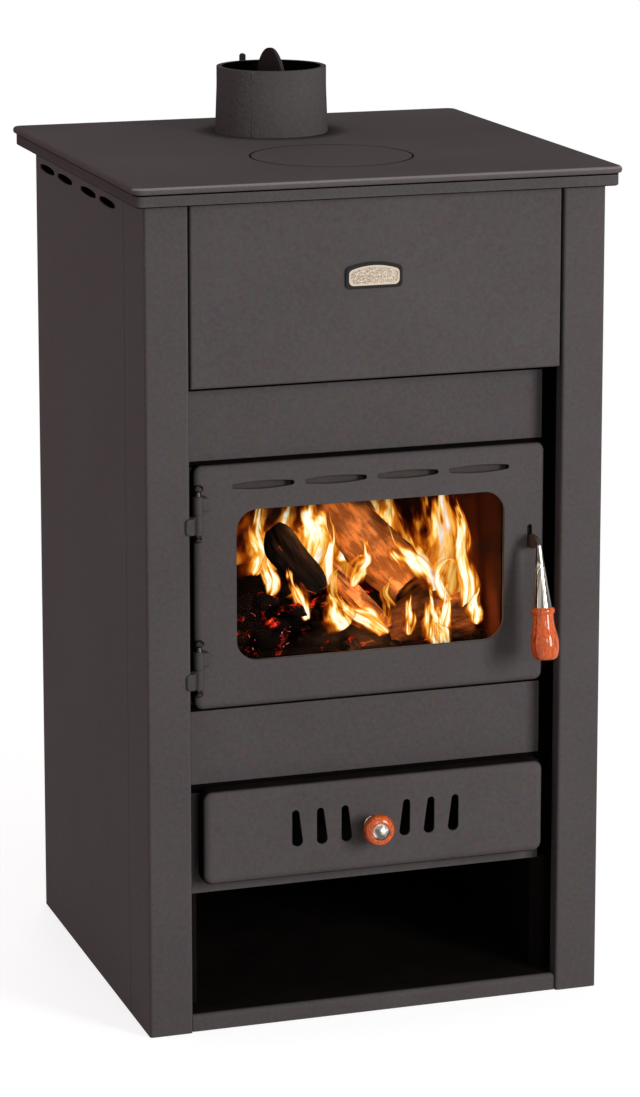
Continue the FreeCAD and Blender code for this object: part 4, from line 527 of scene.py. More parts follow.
def seen_directly(tree):
    """One for rays that show the background: from the camera, in a reflection or through glass."""
    rays = add(tree, "LightPath").node.outputs
    shiny = add(tree, "Math", rays["Is Camera Ray"], rays["Is Glossy Ray"], operation="MAXIMUM")
    return add(tree, "Math", shiny, rays["Is Transmission Ray"], operation="MAXIMUM")


def studio_paper(name):
    """White background paper: white to the camera and in reflections, and it keeps the stove's shadow."""
    made, node, place = begin(name)
    away = node("VectorMath", place, operation="LENGTH")
    far = node("MapRange", away, 0.5, 2.0, interpolation_type="SMOOTHSTEP")
    near = node("AddShader", node("BsdfDiffuse", scaled(WHITE, 0.4)), node("Emission", WHITE, 0.78))
    shown = node("MixShader", far, near, node("Emission", WHITE, 1.0))
    paper = node("BsdfDiffuse", scaled(WHITE, 0.55))
    node("OutputMaterial", node("MixShader", seen_directly(made.node_tree), paper, shown))
    return made


# Meshes

def finish(material, *names):
    """Gives one material to CAD nodes."""
    for name in names:
        slots = NODES[name].data.materials
        slots.clear()
        slots.append(material)


def new_piece(name, built, materials, body):
    """Makes an object from a bmesh, with its materials, on its body."""
    mesh = bpy.data.meshes.new(name)
    bmesh.ops.recalc_face_normals(built, faces=built.faces)
    built.to_mesh(mesh)
    built.free()
    for material in materials:
        mesh.materials.append(material)
    for polygon in mesh.polygons:
        polygon.use_smooth = True
    piece = bpy.data.objects.new(name, mesh)
    bpy.context.scene.collection.objects.link(piece)
    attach(piece, body)
    return piece


def rounded_rectangle(low, high, corner, steps):
    """Points round a rectangle in the door's plane, as (x, z), with arcs at its corners."""
    middles = [(high.x - corner, high.z - corner, 0), (low.x + corner, high.z - corner, 90),
               (low.x + corner, low.z + corner, 180), (high.x - corner, low.z + corner, 270)]
    corners = []
    for x, z, start in middles:
        for step in range(steps + 1):
            turn = math.radians(start + 90 * step / steps)
            corners.append((x + corner * math.cos(turn), z + corner * math.sin(turn)))
    return corners


def resampled(points, spacing):
    """Evenly spaced (x, z, direction x, direction z, distance) places round a closed line."""
    closed = points + [points[0]]
    total = sum(math.dist(a, b) for a, b in zip(closed, closed[1:]))
    count = max(8, round(total / spacing))
    places, index, gone = [], 0, 0.0
    for step in range(count):
        target = total * step / count
        while gone + math.dist(closed[index], closed[index + 1]) < target:
            gone += math.dist(closed[index], closed[index + 1])
            index += 1
        a, b = closed[index], closed[index + 1]
        length = math.dist(a, b) or 1.0
        share = (target - gone) / length
        direction = ((b[0] - a[0]) / length, (b[1] - a[1]) / length)
        places.append((a[0] + (b[0] - a[0]) * share, a[1] + (b[1] - a[1]) * share, *direction, target))
    return places, total


def bridge_rings(built, rings, closed):
    """Faces between neighbouring rings of vertices, also between the last and the first in a closed row."""
    pairs = list(zip(rings, rings[1:]))
    if closed:
        pairs.append((rings[-1], rings[0]))
    for first, second in pairs:
        for a in range(len(first)):
            b = (a + 1) % len(first)
            built.faces.new((first[a], first[b], second[b], second[a]))


def braided_rope(name, material):
    """The door's rope seal: a braided tube pressed into its channel."""
    low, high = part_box("door_rope_seal")
    half = (high.y - low.y) / 2
    middle_y = (high.y + low.y) / 2
    inset = Vector((ROPE_WIDTH / 2, 0, ROPE_WIDTH / 2))
    outline = rounded_rectangle(low + inset, high - inset, ROPE_CORNER, steps=8)
    places, total = resampled(outline, spacing=1.3 * MM)
    around, yarns, relief = 16, 4, 0.07
    turns = round(total / ROPE_LAY)
    built = bmesh.new()
    rings = []
    for x, z, run_x, run_z, gone in places:
        ring = []
        for step in range(around):
            angle = 2 * math.pi * step / around
            phase = 2 * math.pi * turns * gone / total
            weave = max(math.sin(yarns * angle + phase), math.sin(yarns * angle - phase))
            reach = 1 - relief + relief * weave
            side = math.cos(angle) * ROPE_WIDTH / 2 * reach
            depth = math.sin(angle) * half * reach
            ring.append(built.verts.new((x + run_z * side, middle_y + depth, z - run_x * side)))
        rings.append(ring)
    bridge_rings(built, rings, closed=True)
    piece = new_piece(name, built, [material], DOOR_BODY)
    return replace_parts(piece, "door_rope_seal")


def gasket_tape(name, material):
    """The flat tape between the door panel and the glass, with a crowned inner edge."""
    low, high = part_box("glass_gasket")
    inset = Vector((GLASS_LAP, 0, GLASS_LAP))
    steps = 10
    outer = rounded_rectangle(low, high, GASKET_CORNER, steps)
    inner = rounded_rectangle(low + inset, high - inset, WINDOW_CORNER, steps)
    crown = 0.35 * MM
    built = bmesh.new()
    rings = []
    for (x_out, z_out), (x_in, z_in) in zip(outer, inner):
        edge = Vector((x_in - x_out, 0, z_in - z_out)).normalized() * crown
        section = [(x_out, low.y, z_out), (x_in, low.y, z_in),
                   (x_in + edge.x, (low.y + high.y) / 2, z_in + edge.z),
                   (x_in, high.y, z_in), (x_out, high.y, z_out)]
        rings.append([built.verts.new(corner) for corner in section])
    bridge_rings(built, rings, closed=True)
    piece = new_piece(name, built, [material], DOOR_BODY)
    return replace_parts(piece, "glass_gasket")


def collar_seam(name, material):
    """The thin fin that the two halves of the mould left on the collar."""
    low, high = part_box("flue_collar")
    axis, base_radius = upright_axis("flue_collar")
    turn = math.radians(-37)
    out = Vector((math.sin(turn), -math.cos(turn), 0))
    side = Vector((-out.y, out.x, 0))
    rows, foot_gap, top_gap, sunk = 24, 0.5 * MM, 1.0 * MM, 0.5 * MM
    half, back = side * 1.1 * MM, out * -1.0 * MM
    taper_top = high.z - COLLAR_LAND
    built = bmesh.new()
    rings = []
    for row in range(rows + 1):
        z = low.z + foot_gap + (high.z - low.z - foot_gap - top_gap) * row / rows
        share = min(1.0, (z - low.z) / (taper_top - low.z))
        radius = base_radius + (COLLAR_TOP_RADIUS - base_radius) * share
        swell = 0.55 + 0.45 * noise.noise(Vector((z / (6 * MM), 3.1, 0.4)))
        drift = 0.35 * MM * noise.noise(Vector((z / (14 * MM), 7.7, 1.9)))
        foot = axis + out * (radius - sunk) + side * drift + Vector((0, 0, z))
        tip = foot + out * (0.5 + 0.55 * swell) * MM
        section = (foot - half, tip - half * 0.35, tip + half * 0.35, foot + half, foot + half + back,
                   foot - half + back)
        rings.append([built.verts.new(corner) for corner in section])
    bridge_rings(built, rings, closed=False)
    built.faces.new(rings[0])
    built.faces.new(rings[-1])
    return new_piece(name, built, [material], CASING_BODY)


# The fire

def window_limits():
    """The lowest and highest corner of the door's window, on the glass's front."""
    low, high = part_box("door_glass")
    inset = Vector((GLASS_LAP, 0, GLASS_LAP))
    return low + inset, high - inset


def seen_through(across, up, depth):
    """The point at a depth behind the glass that the front camera sees at shares of the window's size."""
    low, high = window_limits()
    x = low.x + (high.x - low.x) * across + SIGHT_RIGHT * depth
    z = low.z + (high.z - low.z) * up - SIGHT_DOWN * depth
    return Vector((x, high.y + depth, z))


def on_route(points, along):
    """The place and heading at a share of a smooth line through points."""
    spans = len(points) - 1
    index = min(int(along * spans), spans - 1)
    t = along * spans - index
    before = points[max(index - 1, 0)]
    a, b = points[index], points[index + 1]
    after = points[min(index + 2, spans)]
    place = 0.5 * (2 * a + (b - before) * t + (2 * before - 5 * a + 4 * b - after) * t * t
                   + (3 * a - before - 3 * b + after) * t ** 3)
    heading = 0.5 * ((b - before) + 2 * (2 * before - 5 * a + 4 * b - after) * t
                     + 3 * (3 * a - before - 3 * b + after) * t * t)
    return place, heading


def firebox_floor():
    """The corners of the firebox floor in plan, inside its walls, and the top of the grate."""
    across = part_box("left_jacket_inner_side")[1].x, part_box("right_jacket_inner_side")[0].x
    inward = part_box("boiler_front_plate")[1].y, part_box("jacket_inner_back")[0].y
    return across, inward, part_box("fire_grate")[1].z


def log_piece(name, ends, radius, seed, flats, taper, bark, sawn):
    """A round or split log between two points: rough bark, split flats, a bend and two ends."""
    start, end = (seen_through(*place) for place in ends)
    run = end - start
    turn = run.to_track_quat("Z", "Y").to_matrix()
    offset = Vector((seed * 3.7, seed * 1.3, seed * 2.1))
    around, rows, cap_rows = 44, 30, 4
    # Shares of the radius: the log's lumps, the bark's ridges, the bend and the roughness of the ends
    lumps, ridges, bend, rough_ends = 0.2, 0.12, 0.25, 0.05
    ridge_length, grain_of_ends = 26 * MM, 7 * MM
    built = bmesh.new()
    chart = built.loops.layers.uv.new("log_map")

    def edge(angle, share):
        """The bark's point at an angle and a share of the length, in the log's own axes."""
        flat = Vector((math.cos(angle), math.sin(angle), 0))
        lump = noise.noise(flat * 1.1 + Vector((0, 0, share * 2.4)) + offset)
        ridge = noise.noise(flat * 5.5 + Vector((0, 0, share * run.length / ridge_length)) + offset)
        reach = radius * (1 + lumps * lump)
        for index, flat_at in enumerate(flats):
            towards = math.cos(angle - seed - 2 * math.pi * index / len(flats))
            if towards * reach > flat_at * radius:
                reach = flat_at * radius / towards
        reach = (reach + ridges * ridge * radius) * (1 - taper * abs(2 * share - 1) ** 4)
        sway = radius * bend * math.sin(math.pi * share)
        return flat * reach + Vector((sway * math.sin(seed), sway * math.cos(seed), 0))

    rings = []
    for row in range(rows + 1):
        share = row / rows
        middle = start + run * share
        rings.append([built.verts.new(middle + turn @ edge(2 * math.pi * step / around, share))
                      for step in range(around)])
    bridge_rings(built, rings, closed=False)
    bark_faces = len(built.faces)
    for share, ring, outward in ((0.0, rings[0], -1), (1.0, rings[-1], 1)):
        middle = start + run * share
        previous = ring
        for cap in range(1, cap_rows):
            inner = []
            for step in range(around):
                point = edge(2 * math.pi * step / around, share) * (1 - cap / cap_rows)
                rough = noise.noise(point / grain_of_ends + offset) * rough_ends * radius
                inner.append(built.verts.new(middle + turn @ (point + Vector((0, 0, outward * rough)))))
            bridge_rings(built, [previous, inner], closed=False)
            previous = inner
        built.faces.new(previous)
    girth = 2 * math.pi * radius
    back = turn.transposed()
    for index, face in enumerate(built.faces):
        face.material_index = 0 if index < bark_faces else 1
        corners = [back @ (loop.vert.co - start) for loop in face.loops]
        turns = [math.atan2(corner.y, corner.x) / (2 * math.pi) for corner in corners]
        for loop, corner, part in zip(face.loops, corners, turns):
            if max(turns) - min(turns) > 0.5 and part < 0:
                part += 1
            bark_place = (part * girth + seed, corner.z)
            loop[chart].uv = bark_place if index < bark_faces else (corner.x, corner.y)
    return new_piece(name, built, [bark, sawn], CASING_BODY)


def flame_sheet(name, route, width, depth, seed, material):
    """A bowed sheet along a route of (across, up) shares, mapped across and along for its material."""
    rows, columns, fullness, bulge, flutter = 36, 9, 0.72, 0.35, 5 * MM
    low, high = window_limits()
    window_width = high.x - low.x
    points = [seen_through(across, up, depth) for across, up in route]
    (left, right), _, _ = firebox_floor()
    built = bmesh.new()
    chart = built.loops.layers.uv.new("flame_map")
    grid, shares = [], {}
    for row in range(rows + 1):
        along = row / rows
        middle, heading = on_route(points, along)
        side = Vector((heading.z, 0, -heading.x)).normalized()
        belly = 0.55 + 0.45 * math.sin(math.pi * min(1.0, along * 1.15 + 0.12))
        half = width * window_width * fullness * belly
        reach = abs(side.x) * half + WALL_GAP
        middle.x = min(max(middle.x, left + reach), right - reach)
        line = []
        for column in range(columns + 1):
            across = column / columns
            bow = (1 - (2 * across - 1) ** 2) * half * bulge
            ripple = flutter * noise.noise(Vector((across * 2.0, along * 4.0, seed)))
            place = middle + side * half * (2 * across - 1) + Vector((0, ripple - bow, 0))
            vertex = built.verts.new(place)
            shares[vertex] = (across, along)
            line.append(vertex)
        grid.append(line)
    for lower, upper in zip(grid, grid[1:]):
        for column in range(columns):
            face = built.faces.new((lower[column], lower[column + 1], upper[column + 1], upper[column]))
            for loop in face.loops:
                loop[chart].uv = shares[loop.vert]
    return new_piece(name, built, [material], CASING_BODY)


def ember_bed(name, height, material):
    """A low, closed mound of ash and fine coal on the grate."""
    x, y, grate_top = firebox_floor()
    gap, clear, least = 3 * MM, 0.5 * MM, 4 * MM
    lump_width, lump_height = 38 * MM, 9 * MM
    columns, rows = 56, 56
    built = bmesh.new()
    tops, bottoms = [], []
    for row in range(rows + 1):
        top, bottom = [], []
        for column in range(columns + 1):
            across, inward = column / columns, row / rows
            px = x[0] + gap + (x[1] - x[0] - 2 * gap) * across
            py = y[0] + gap + (y[1] - y[0] - 2 * gap) * inward
            slope = math.sin(math.pi * min(1, across * 0.9 + 0.05))
            slope *= 0.55 + 0.45 * math.sin(math.pi * inward)
            lumps = noise.fractal(Vector((px, py, 0.3)) / lump_width, 1.0, 2.0, 4)
            rise = height * (0.55 + 0.45 * slope) + lump_height * lumps
            top.append(built.verts.new((px, py, grate_top + max(rise, least))))
            bottom.append(built.verts.new((px, py, grate_top + clear)))
        tops.append(top)
        bottoms.append(bottom)
    for row in range(rows):
        for column in range(columns):
            for grid in (tops, bottoms):
                built.faces.new((grid[row][column], grid[row][column + 1],
                                 grid[row + 1][column + 1], grid[row + 1][column]))
    rims = [grid[0] + [row[-1] for row in grid[1:]] + grid[-1][-2::-1] + [row[0] for row in grid[-2:0:-1]]
            for grid in (tops, bottoms)]
    bridge_rings(built, rims, closed=False)
    return new_piece(name, built, [material], CASING_BODY)


def coals(name, count, across, heights, depths, sizes, seed, material):
    """Lumpy, split coals in a heap: shares across the window, heights at its two ends, depths and sizes."""
    (left, right), _, grate_top = firebox_floor()
    draw = random.Random(seed)
    built = bmesh.new()
    for index in range(count):
        share = draw.random()
        top = heights[1] + (heights[2] - heights[1]) * share
        middle = seen_through(across[0] + (across[1] - across[0]) * share, draw.uniform(heights[0], top),
                              draw.uniform(*depths))
        size = draw.uniform(*sizes) * MM
        room = COAL_REACH * size + WALL_GAP
        middle.x = min(max(middle.x, left + room), right - room)
        middle.z = max(middle.z, grate_top + size)
        made = bmesh.ops.create_icosphere(built, subdivisions=2, radius=size)
        stretch = Vector((draw.uniform(0.7, 1.5), draw.uniform(0.7, 1.2), draw.uniform(0.5, 0.85)))
        offset = Vector((index * 1.7, index * 0.9, index * 2.3 + seed))
        for vertex in made["verts"]:
            split = 0.4 * noise.cell(vertex.co / (size * 0.9) + offset)
            swell = 1 + split + 0.3 * noise.noise(vertex.co / size + offset)
            vertex.co = middle + Vector(a * b for a, b in zip(vertex.co, stretch)) * swell
    return new_piece(name, built, [material], CASING_BODY)


def sparks(name, count, seed, material):
    """Thin glowing slivers that jump from the coals at the lower left."""
    draw = random.Random(seed)
    built = bmesh.new()
    for _ in range(count):
        middle = seen_through(draw.uniform(0.03, 0.24), draw.uniform(0.04, 0.36), draw.uniform(0.030, 0.034))
        turn = Euler((draw.uniform(-0.4, 0.4), draw.uniform(-1.5, 1.5), 0)).to_matrix()
        size = draw.uniform(0.3, 0.55) * MM
        stretch = draw.uniform(2.5, 8.0)
        made = bmesh.ops.create_icosphere(built, subdivisions=1, radius=size)
        for vertex in made["verts"]:
            vertex.co = middle + turn @ Vector((vertex.co.x, vertex.co.y, vertex.co.z * stretch))
    return new_piece(name, built, [material], CASING_BODY)


# Logs as two (across, up, depth) ends, radius in millimetres, seed, how far out each split flat lies and kind
LOGS = [
    ("log_scorched", ((0.135, 0.87, 0.075), (0.320, 0.42, 0.045)), 20, 3, (0.7, 0.8, 0.65), "char"),
    ("log_lit", ((0.37, 1.04, 0.20), (0.67, 0.37, 0.10)), 27, 5, (), "lit"),
    ("log_split", ((0.33, 0.58, 0.10), (0.565, 0.11, 0.055)), 12, 8, (0.5, 0.7, 0.6), "hot"),
    ("log_right", ((0.58, 0.10, 0.085), (0.90, 0.165, 0.060)), 28, 13, (0.8, 0.9), "brown"),
    ("log_right_back", ((0.60, 0.30, 0.15), (0.82, 0.33, 0.11)), 16, 21, (0.6, 0.8), "brown"),
    ("log_left", ((-0.06, 0.44, 0.16), (0.22, 0.50, 0.12)), 15, 34, (0.6, 0.7), "char"),
    ("log_front", ((0.20, 0.02, 0.075), (0.60, 0.04, 0.085)), 20, 89, (0.7, 0.9, 0.8), "char"),
    ("log_middle", ((0.30, 0.28, 0.13), (0.66, 0.24, 0.14)), 20, 61, (0.8, 0.9), "char"),
]

# Heaps of coal: share of the embers, shares across, heights (low, at the left, at the right), depths in
# metres, sizes in millimetres and seed
HEAPS = [
    ("coals_left", 0.34, (-0.10, 0.30), (-0.25, 0.52, 0.24), (0.035, 0.15), (7, 15), 11),
    ("coals_front", 0.36, (-0.05, 1.05), (-0.30, 0.10, 0.06), (0.035, 0.12), (4, 10), 23),
    ("coals_back", 0.30, (-0.10, 0.90), (-0.10, 0.36, 0.26), (0.15, 0.24), (7, 14), 37),
]

# Flames as a route of (across, up) shares, width as a share of the window, depth in metres, and kind
FLAMES = [
    ([(0.02, 0.42), (0.07, 0.65), (0.05, 0.90), (0.09, 1.35)], 0.24, 0.20, "veil"),
    ([(0.15, 0.60), (0.18, 0.76), (0.16, 0.92), (0.22, 1.35)], 0.15, 0.19, "full"),
    ([(0.05, 0.55), (0.08, 0.72), (0.06, 0.90), (0.09, 1.20)], 0.10, 0.15, "full"),
    ([(0.25, 0.60), (0.28, 0.80), (0.25, 1.00), (0.30, 1.35)], 0.20, 0.18, "full"),
    ([(0.36, 0.62), (0.40, 0.86), (0.46, 1.00), (0.42, 1.40)], 0.28, 0.21, "full"),
    ([(0.50, 0.55), (0.53, 0.78), (0.565, 0.98), (0.52, 1.30)], 0.16, 0.17, "full"),
    ([(0.63, 0.45), (0.62, 0.70), (0.57, 1.05)], 0.18, 0.16, "veil"),
    ([(0.74, 0.45), (0.78, 0.68), (0.77, 0.92), (0.72, 1.35)], 0.14, 0.07, "full"),
    ([(0.79, 0.25), (0.81, 0.50), (0.80, 0.80), (0.75, 1.15)], 0.18, 0.065, "veil"),
    ([(0.865, 0.14), (0.87, 0.36), (0.845, 0.58), (0.85, 0.80), (0.80, 1.02)], 0.10, 0.05, "full"),
    ([(0.83, 0.22), (0.77, 0.34), (0.755, 0.46), (0.80, 0.55), (0.85, 0.50)], 0.06, 0.055, "full"),
    ([(0.75, 0.30), (0.735, 0.46), (0.66, 0.60), (0.59, 0.70), (0.555, 0.95)], 0.12, 0.075, "full"),
    ([(0.725, 0.40), (0.715, 0.55), (0.675, 0.66), (0.64, 0.80)], 0.08, 0.078, "full"),
    ([(0.31, 0.42), (0.33, 0.58), (0.36, 0.74), (0.34, 0.95)], 0.09, 0.085, "veil"),
    ([(0.12, 0.40), (0.13, 0.50), (0.10, 0.64), (0.12, 0.80)], 0.06, 0.10, "full"),
    ([(0.745, -0.02), (0.742, 0.16), (0.725, 0.40)], 0.085, 0.040, "full"),
    ([(0.77, -0.02), (0.778, 0.18), (0.80, 0.42)], 0.07, 0.035, "full"),
    ([(0.80, -0.04), (0.775, 0.08), (0.745, 0.16)], 0.06, 0.033, "full"),
    ([(0.935, 0.10), (0.94, 0.22), (0.925, 0.40)], 0.08, 0.045, "full"),
    ([(0.43, 0.42), (0.455, 0.54), (0.49, 0.62), (0.47, 0.78)], 0.085, 0.050, "full"),
    ([(0.26, 0.22), (0.245, 0.34), (0.21, 0.48), (0.20, 0.60)], 0.065, 0.040, "full"),
    ([(0.41, 0.16), (0.37, 0.27), (0.34, 0.42)], 0.13, 0.042, "full"),
    ([(0.645, 0.06), (0.65, 0.20), (0.65, 0.36)], 0.055, 0.036, "full"),
    ([(0.57, 0.09), (0.50, 0.20), (0.42, 0.27), (0.36, 0.44)], 0.085, 0.040, "full"),
    ([(0.52, 0.10), (0.56, 0.22), (0.55, 0.36)], 0.08, 0.06, "veil"),
    ([(0.10, 0.45), (0.16, 0.70), (0.14, 0.95), (0.20, 1.35)], 0.50, 0.22, "veil"),
    ([(0.42, 0.50), (0.44, 0.80), (0.48, 1.00), (0.46, 1.40)], 0.50, 0.23, "veil"),
    ([(0.70, 0.15), (0.74, 0.45), (0.72, 0.80), (0.68, 1.15)], 0.20, 0.13, "veil"),
    ([(0.40, 0.28), (0.36, 0.40), (0.375, 0.53), (0.43, 0.60)], 0.04, 0.055, "veil"),
    ([(0.60, 0.26), (0.555, 0.35), (0.57, 0.44), (0.60, 0.46)], 0.04, 0.055, "veil"),
    ([(0.345, 0.44), (0.34, 0.60), (0.36, 0.76), (0.345, 0.98)], 0.05, 0.065, "full"),
]

# Warm lamps of the fire: the place and the point they look at, each (across, up, depth), and a share of power
GLOWS = [
    ((0.50, 0.00, 0.030), (0.55, 0.60, 0.15), 0.8),
    ((0.82, 0.45, 0.045), (0.50, 0.50, 0.14), 0.7),
    ((0.30, 0.95, 0.040), (0.50, 0.40, 0.13), 0.8),
    ((0.85, 0.15, 0.022), (0.85, 0.15, 0.10), 0.3),
    ((0.45, 0.80, 0.170), (0.68, 0.85, 0.27), 0.7),
]


# Operators

def area_lamp(context, name, power, code, size, place, aim, height=None):
    """A soft lamp that looks at a point, square unless it has a height of its own."""
    lamp = bpy.data.lights.new(name, "AREA")
    lamp.energy = power
    lamp.color = linear(code)[:3]
    lamp.shape = "RECTANGLE"
    lamp.size = size
    lamp.size_y = height or size
    box = bpy.data.objects.new(name, lamp)
    box.location = place
    box.rotation_euler = (aim - place).to_track_quat("-Z", "Y").to_euler()
    context.scene.collection.objects.link(box)


class StoveOperator(bpy.types.Operator):
    """What the stove's operators share."""
    bl_options = {"REGISTER", "UNDO"}


class STOVE_OT_casing(StoveOperator):
    """Powder coats the casing, the door, the drawer front and the hinges"""
    bl_idname = "stove.casing"
    bl_label = "Casing"

    def execute(self, context):
        looks = context.scene.stove_finish
        paint = tuple(looks.paint)
        coat = powder_coated_steel("anthracite_powder_coat", paint, looks.peel)
        finish(coat, "left_front_post", "right_front_post", "left_side_panel", "right_side_panel",
               "back_panel", "upper_front_panel")
        # The drawer front and the door panel turn to painted shade, black, behind their front edges
        for name, node in (("drawer_coat_painted_shade", "drawer_front"), ("door_coat_painted_shade", "door_panel")):
            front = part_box(node)[0].y
            finish(painted_shade_coat(name, paint, looks.peel, front + 2 * MM, depth=3 * MM), node)
        plate = powder_coated_steel("front_plate_coat_painted_shade", paint, looks.peel)
        drawer_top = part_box("drawer_front")[1].z
        door_low, door_high = (corner.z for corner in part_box("door_panel"))
        panel_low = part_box("upper_front_panel")[0].z
        # Painted shade behind the edges of the drawer, the door and the panel shows as a dark line at each
        # joint
        painted_shade_lines(plate, (drawer_top - 8 * MM, drawer_top + 1 * MM), (door_low - 4 * MM, door_low + 4 * MM),
                   (door_high - 4 * MM, door_high + 2 * MM), (panel_low - 8 * MM, panel_low))
        finish(plate, "boiler_front_plate")
        hinge = powder_coated_steel("dark_hinge_coat", linear("#3A3635"), peel=1.5, shine=0.2)
        finish(hinge, "post_knuckles", "door_knuckles")
        pins = drawn_steel("turned_hinge_pins", linear("#353130"), spacing=1.2, stretch=(1.0, 1.0, 0.3))
        finish(pins, "hinge_pins")
        return {"FINISHED"}


class STOVE_OT_wood_bay(StoveOperator):
    """Coats the base tray and the wood bay, with painted shade in black behind the front lip"""
    bl_idname = "stove.wood_bay"
    bl_label = "Wood bay"

    def execute(self, context):
        looks = context.scene.stove_finish
        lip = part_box("base_tray")[0].y + 3 * MM
        # Painted shade: black behind the tray's front lip and through the bay
        coat = painted_shade_coat("bay_coat_painted_shade", tuple(looks.paint), looks.peel, lip, depth=5 * MM)
        finish(coat, "base_tray", "left_wood_bay_wall", "right_wood_bay_wall", "boiler_floor_plate")
        return {"FINISHED"}


class STOVE_OT_castings(StoveOperator):
    """Finishes the hob, the lid, the collar, the damper and the grate as sand castings"""
    bl_idname = "stove.castings"
    bl_label = "Castings"

    def execute(self, context):
        looks = context.scene.stove_finish
        iron, grey_iron = tuple(looks.iron), tuple(looks.grey_iron)
        fine, coarse = looks.grit, looks.grit * 1.4
        smooth = sand_cast_iron("ground_cast_iron", iron, fine, 0.12 * MM, shine_of_edges=0.75)
        soot_and_shadow_rings(smooth)
        frame_iron = scaled(grey_iron, 0.88)
        framed = sand_cast_iron("ground_frame_iron", frame_iron, fine, 0.12 * MM, shine_of_edges=0.1)
        low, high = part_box("hob_frame")
        # Painted shade: dark lines at the frame's top, under the hob's lip, and along its foot
        painted_shade_lines(framed, (low.z, low.z + 1.0 * MM), (high.z - 1.65 * MM, high.z))
        rough = sand_cast_iron("rough_cast_iron", grey_iron, coarse, 2.0 * MM, shine_of_edges=0.12)
        soot_inside(rough, upright_axis("flue_collar")[0])
        dark = sand_cast_iron("sooted_cast_iron", scaled(iron, 0.35), coarse, 0.7 * MM, shine_of_edges=0.05)
        finish(smooth, "hob_plate", "hob_lid")
        finish(framed, "hob_frame")
        finish(rough, "flue_collar")
        finish(dark, "damper_disc", "damper_spindle", "damper_lever", "fire_grate")
        collar_seam("collar_seam", rough)
        return {"FINISHED"}


class STOVE_OT_boiler(StoveOperator):
    """Finishes the water jacket, the hearth and the sockets"""
    bl_idname = "stove.boiler"
    bl_label = "Boiler"

    def execute(self, context):
        looks = context.scene.stove_finish
        plate = heatproof_boiler_plate("matt_boiler_plate", tuple(looks.plate))
        finish(plate, "left_jacket_outer_side", "right_jacket_outer_side", "jacket_outer_back",
               "jacket_top_cover")
        # Painted shade and painted firelight: the sides, the bridge and the hearth take a darker brown, and
        # the back a lighter, redder brown, set against how the fire's lamps light them
        shaded_firebox_plate = heatproof_boiler_plate("firebox_plate_painted_shade", linear("#36180D"))
        finish(shaded_firebox_plate, "left_jacket_inner_side", "right_jacket_inner_side", "water_bridge", "hearth_plate")
        lit_firebox_back = heatproof_boiler_plate("firebox_back_painted_firelight", linear("#5A3020"))
        finish(lit_firebox_back, "jacket_inner_back")
        socket = drawn_steel("turned_socket_steel", linear("#8E8A86"), spacing=1.6, stretch=(1.0, 6.0, 1.0))
        finish(socket, "flow_socket", "return_socket", "sensor_socket")
        return {"FINISHED"}


class STOVE_OT_door_fittings(StoveOperator):
    """Finishes the glass, its clips, the air plate, the latch and the keeper"""
    bl_idname = "stove.door_fittings"
    bl_label = "Door fittings"

    def execute(self, context):
        low, high = window_limits()
        glass = sooted_stove_glass("sooted_ceramic_glass", (low + high) / 2, (high.x - low.x) / 2,
                                   (high.z - low.z) / 2)
        finish(glass, "door_glass")
        grey_plate = powder_coated_steel("grey_heatproof_coat", linear("#4C4644"), peel=2.0)
        finish(grey_plate, "air_wash_plate", "rope_channel")
        black = powder_coated_steel("browned_latch_steel", linear("#463F3D"), peel=1.5)
        finish(black, "latch_lever", "latch_bracket", "latch_keeper")
        bright = drawn_steel("drawn_bright_steel", linear("#9B9792"), spacing=1.2, stretch=(1.0, 1.0, 0.2))
        finish(bright, "glass_clips", "latch_pin")
        return {"FINISHED"}


class STOVE_OT_door_seals(StoveOperator):
    """Braids the door's rope seal and lays the gasket of the glass"""
    bl_idname = "stove.door_seals"
    bl_label = "Door seals"

    def execute(self, context):
        yarn = knitted_glass_fibre("knitted_glass_fibre", tuple(context.scene.stove_finish.rope))
        braided_rope("rope_seal_braid", yarn)
        gasket_tape("glass_gasket_tape", yarn)
        return {"FINISHED"}


class STOVE_OT_handles(StoveOperator):
    """Finishes the door handle and the air knob in chrome and varnished wood"""
    bl_idname = "stove.handles"
    bl_label = "Handle and knob"

    def execute(self, context):
        looks = context.scene.stove_finish
        wood = tuple(looks.wood)
        # The streaks are painted reflections; the cap's plating is drawn brighter and its streaks blotchy
        for name, node, across, turns, share in (
                ("polished_chrome_cone", "handle_cone", (1.0, 1.0, 0.0), 1.7, 1.0),
                ("polished_chrome_cap", "knob_bolt", (1.0, 1.0, 1.0), 1.6, 1.6),
                ("polished_chrome_ferrule", "knob_ferrule", (1.0, 0.0, 1.0), 1.7, 1.0)):
            low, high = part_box(node)
            plating = scaled(tuple(looks.chrome), share)
            finish(polished_chrome(name, plating, (low + high) / 2, across, turns), node)
        finish(varnished_turned_wood("varnished_beech_upright", wood, (1.0, 1.0, 0.18)), "handle_grip")
        finish(varnished_turned_wood("varnished_beech_level", wood, (1.0, 0.18, 1.0)), "air_knob")
        return {"FINISHED"}


class STOVE_OT_badge(StoveOperator):
    """Finishes the bare badge plate and its dark surround"""
    bl_idname = "stove.badge"
    bl_label = "Badge"

    def execute(self, context):
        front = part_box("badge_plate")[0].y
        finish(cast_nickel("sand_blasted_nickel", linear("#B3A494"), front), "badge_plate")
        gloss = powder_coated_steel("glossy_black_coat", linear("#171514"), peel=1.2, shine=0.12)
        finish(gloss, "badge_bezel")
        return {"FINISHED"}


class STOVE_OT_drawer(StoveOperator):
    """Finishes the ash tray, its runners and the air shutter"""
    bl_idname = "stove.drawer"
    bl_label = "Ash drawer"

    def execute(self, context):
        plate = heatproof_boiler_plate("ashy_sheet_steel", linear("#2B2826"))
        finish(plate, "ash_tray", "drawer_runners", "air_shutter", "shutter_guides")
        return {"FINISHED"}


